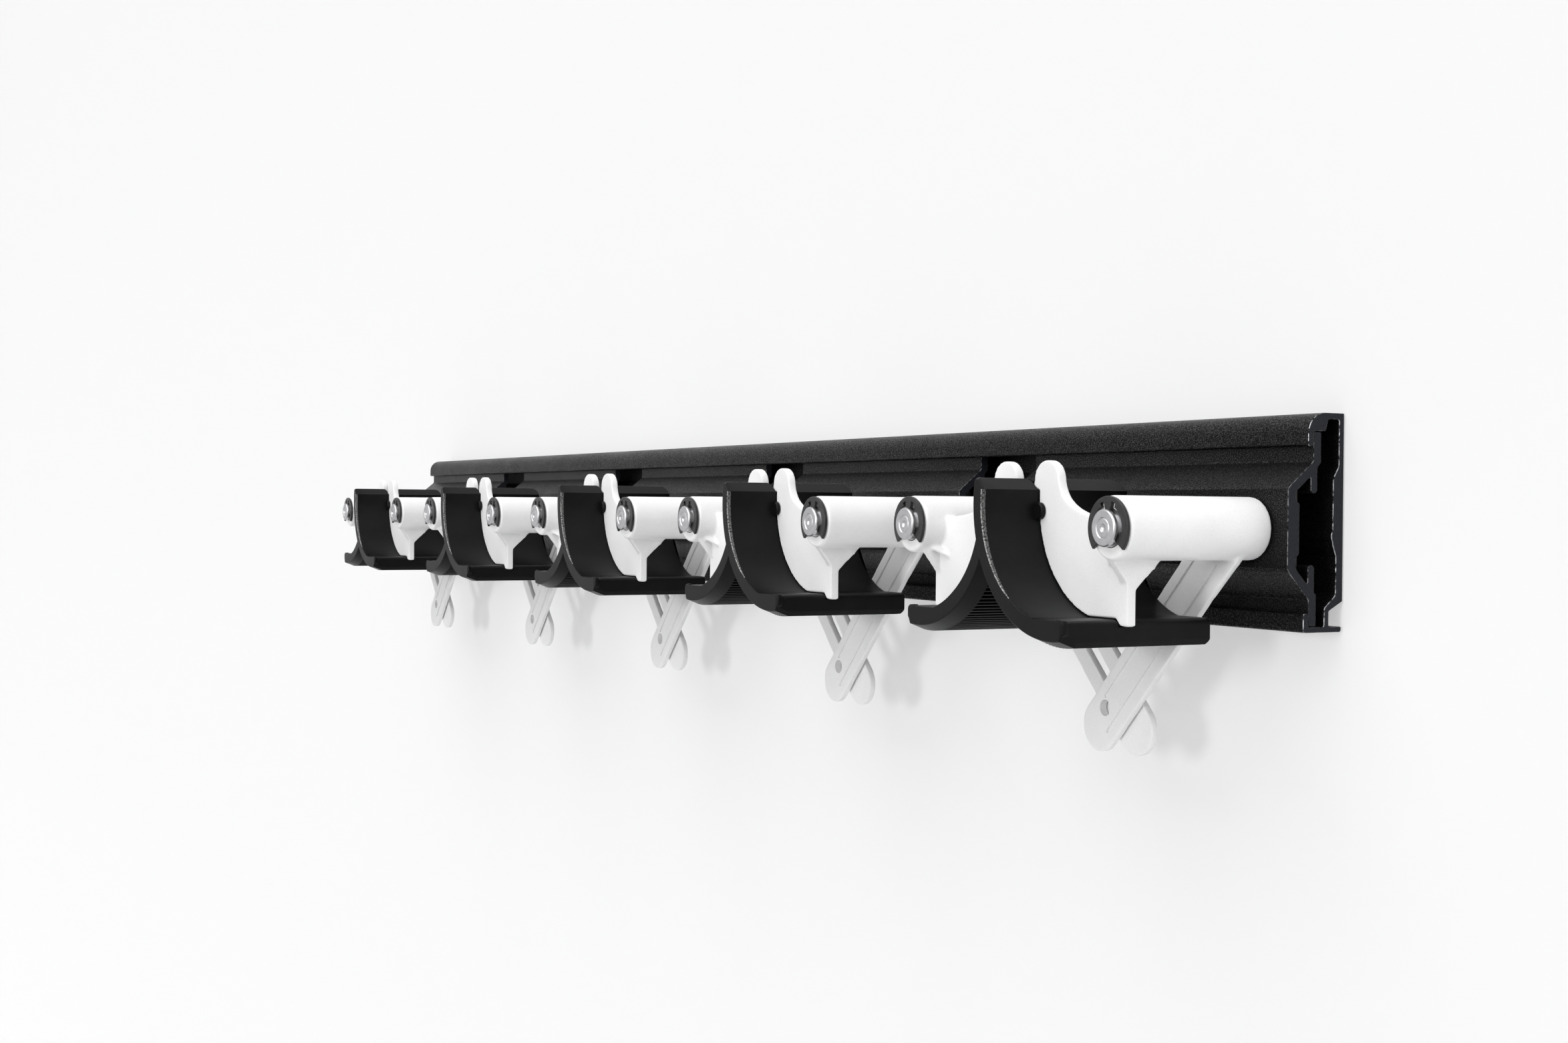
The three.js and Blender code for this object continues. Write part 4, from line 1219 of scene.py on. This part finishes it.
def shoe(hand):
    """A moulded shell with ribs behind a plain rim, a hooked nose and a round peg."""
    shoe_front = hub_front + (RIGHT_SHOE_LEAD if hand < 0 else LEFT_SHOE_LEAD)
    ribs = extruded("ribs", handed(shoe_section(ribbed_outside()), hand), shoe_back,
                    shoe_front - PLAIN_EDGE + SLIP * 2, outward, RIB_BACK_EDGE)
    body = combined(shoe_rim(hand, shoe_front), [ribs, nose(hand, shoe_front), peg(hand)], "UNION")
    cutters = [
        notch(hand, finger_reach - FINGER_RADIUS - OVERRUN, finger_reach + FINGER_RADIUS + SLIP,
              seat_top - SLIP, SHOE_TOP + OVERRUN),
        notch(hand, 0, foot_inner + SLIP, foot_bottom - SLIP, foot_bottom + FOOT_HEIGHT),
        corner_cutter(hand, shoe_back, SHOE_TOP, TOP_CORNER_CUT, -1, 1),
        corner_cutter(hand, shoe_back, SHELL_CENTRE_Z - RIB_CREST_RADIUS, LIP_CORNER_CUT, -1, -1),
        corner_cutter(hand, shoe_front, SHOE_TOP, FRONT_CORNER_CUT, 1, 1),
        corner_cutter(hand, web_front + SLIP, SHOE_TOP, NOTCH_CORNER_CUT, -1, 1),
        worn_edge_cutter(hand, shoe_front),
    ]
    return smooth_by_angle(combined(body, cutters, "DIFFERENCE"), MOULDED_SHARP_ANGLE)


# Assembly

def dress(source, cad_node, made, body, material, x=0.0):
    """A copy of a finished shape, placed and coloured, that rides on its body and stands for its CAD node."""
    piece = add_object(f"{cad_node}_{made}", source.data)
    shading = piece.modifiers.new("even_normals", "WEIGHTED_NORMAL")
    shading.keep_sharp = True
    shading.weight = NORMAL_WEIGHT
    piece.location.x = x
    piece.data.materials.clear()
    piece.data.materials.append(material)
    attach(piece, body)
    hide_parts(cad_node)


def carried_over(name, material):
    """A CAD node that stays, with broken edges and its finish."""
    obj = frame["nodes"][name]
    obj.data.materials.clear()
    obj.data.materials.append(material)
    bevel = obj.modifiers.new("broken_edges", "BEVEL")
    bevel.width = PLATE_EDGE * MM
    bevel.segments = 2
    bevel.limit_method = "ANGLE"


def build_rack():
    """Every shape is made once, and then dressed at each place that it has in the rack."""
    rail_coat = powder_coat(rail_length / 2)
    carrier_coat = powder_coat(carrier_length / 2)
    plated = dark_steel("plated_steel", dark=0.015, light=0.03, metallic=0.4, rough_low=0.4, rough_high=0.55)
    spring = dark_steel("black_spring_steel", dark=0.014, light=0.028, metallic=0.3, rough_low=0.3,
                        rough_high=0.42)
    steel = turned_steel()
    cast = white_cast()
    plastic = shoe_plastic()

    rail = smooth_by_angle(extrusion("rail_shape", rail_section(), rail_length, RAIL_END_WEAR_AND_HIGHLIGHT),
                           EXTRUDED_SHARP_ANGLE)
    carrier = carrier_shape()
    pin_shape = pin()
    clip_shape = clip()
    arms = {"left": arm(1), "right": arm(-1)}
    shoes = {"left": shoe(1), "right": shoe(-1)}

    dress(rail, "wall_rail", "coated", "rack_frame", rail_coat)
    for station in stations:
        centre = (pivot_x("left", station) + pivot_x("right", station)) / 2
        dress(carrier, f"carrier_{station}", "coated", "rack_frame", carrier_coat,
              centre)
        carried_over(f"pin_plate_{station}", plated)
        for side in ("left", "right"):
            x = pivot_x(side, station)
            mark = f"{side}_{station}"
            jaw = f"jaw_{mark}"
            dress(pin_shape, f"pivot_pin_{mark}", "turned", "rack_frame", steel, x)
            dress(clip_shape, f"e_clip_{mark}", "pressed", "rack_frame", spring, x)
            dress(arms[side], f"arm_{mark}", "cast", jaw, cast, x)
            dress(shoes[side], f"shoe_{mark}", "moulded", jaw, plastic, x)
    for shape in (rail, carrier, pin_shape, clip_shape, *arms.values(), *shoes.values()):
        bpy.data.objects.remove(shape)


# Stage, lamps and camera

def seen_directly(tree):
    """One for rays from the camera and for those that come by way of a mirror or a clear body."""
    ray = tree.nodes.new("ShaderNodeLightPath")
    seen = math_node(tree, "MAXIMUM", ray.outputs["Is Camera Ray"], ray.outputs["Is Glossy Ray"])
    return math_node(tree, "MAXIMUM", seen, ray.outputs["Is Transmission Ray"])


def stage_plane(name, corners, tone, lift):
    """A pale plane that shows only from its front; lift is the share of white that the camera sees in it."""
    mesh = bpy.data.meshes.new(name)
    mesh.from_pydata([[c * MM for c in corner] for corner in corners], [], [(0, 1, 2, 3)])
    obj = add_object(name, mesh)
    material, tree, shader = new_material(name)
    shader.inputs["Base Color"].default_value = (*tone, 1)
    shader.inputs["Roughness"].default_value = STAGE_ROUGHNESS
    shader.inputs["Specular IOR Level"].default_value = STAGE_SHEEN
    white = tree.nodes.new("ShaderNodeEmission")
    white.inputs["Strength"].default_value = 1.0
    lifted = mixed_shader(tree, math_node(tree, "MULTIPLY", seen_directly(tree), lift), shader, white)
    facing = tree.nodes.new("ShaderNodeNewGeometry")
    clear = tree.nodes.new("ShaderNodeBsdfTransparent")
    one_sided = mixed_shader(tree, facing.outputs["Backfacing"], lifted, clear)
    tree.links.new(one_sided.outputs[0], tree.nodes["Material Output"].inputs["Surface"])
    obj.data.materials.append(material)


def sun_lamp(name, source, strength, width):
    """A distant soft light that comes from the given direction; width is in degrees."""
    data = bpy.data.lights.new(name, "SUN")
    data.energy = strength
    data.angle = radians(width)
    obj = add_object(name, data)
    obj.rotation_euler = Vector(source).to_track_quat("Z", "Y").to_euler()


def build_room():
    """The wall that the rack hangs on and the floor below, both pale."""
    foot = [(ROOM_LEFT, WALL_BEHIND, FLOOR_Z), (ROOM_RIGHT, WALL_BEHIND, FLOOR_Z)]
    top = [(ROOM_RIGHT, WALL_BEHIND, ROOM_TOP), (ROOM_LEFT, WALL_BEHIND, ROOM_TOP)]
    front = [(ROOM_LEFT, ROOM_FRONT, FLOOR_Z), (ROOM_RIGHT, ROOM_FRONT, FLOOR_Z)]
    stage_plane("wall", foot + top, WALL_TONE, WALL_LIFT)
    stage_plane("floor", front + foot[::-1], FLOOR_TONE, FLOOR_LIFT)


def build_world():
    """Soft light from all round, which shows as a pale room where it is seen itself."""
    world = bpy.data.worlds.new("studio")
    bpy.context.scene.world = world
    world.use_nodes = True
    tree = world.node_tree
    light = tree.nodes["Background"]
    light.inputs["Color"].default_value = (*ROOM_LIGHT, 1)
    light.inputs["Strength"].default_value = ROOM_STRENGTH
    shown = tree.nodes.new("ShaderNodeBackground")
    shown.inputs["Color"].default_value = (*ROOM_TONE, 1)
    shown.inputs["Strength"].default_value = 1.0
    either = mixed_shader(tree, seen_directly(tree), light, shown)
    tree.links.new(either.outputs[0], tree.nodes["World Output"].inputs["Surface"])


def build_camera():
    """The camera of the photograph, turned by yaw, pitch and roll in that order."""
    data = bpy.data.cameras.new("camera")
    data.lens = CAMERA_LENS
    data.sensor_fit = "HORIZONTAL"
    data.sensor_width = SENSOR_WIDTH
    data.clip_start = CAMERA_NEAR * MM
    data.clip_end = CAMERA_FAR * MM
    obj = add_object("camera", data)
    place = Matrix.Translation([c * MM for c in CAMERA_PLACE])
    for angle, axis in ((CAMERA_YAW, "Z"), (90 - CAMERA_PITCH, "X"), (CAMERA_ROLL, "Z")):
        place = place @ Matrix.Rotation(radians(angle), 4, axis)
    obj.matrix_world = place
    bpy.context.scene.camera = obj


build_camera()
build_room()
build_world()
for lamp in LAMPS:
    sun_lamp(*lamp)
build_rack()
bpy.context.scene.view_settings.view_transform = "Standard"
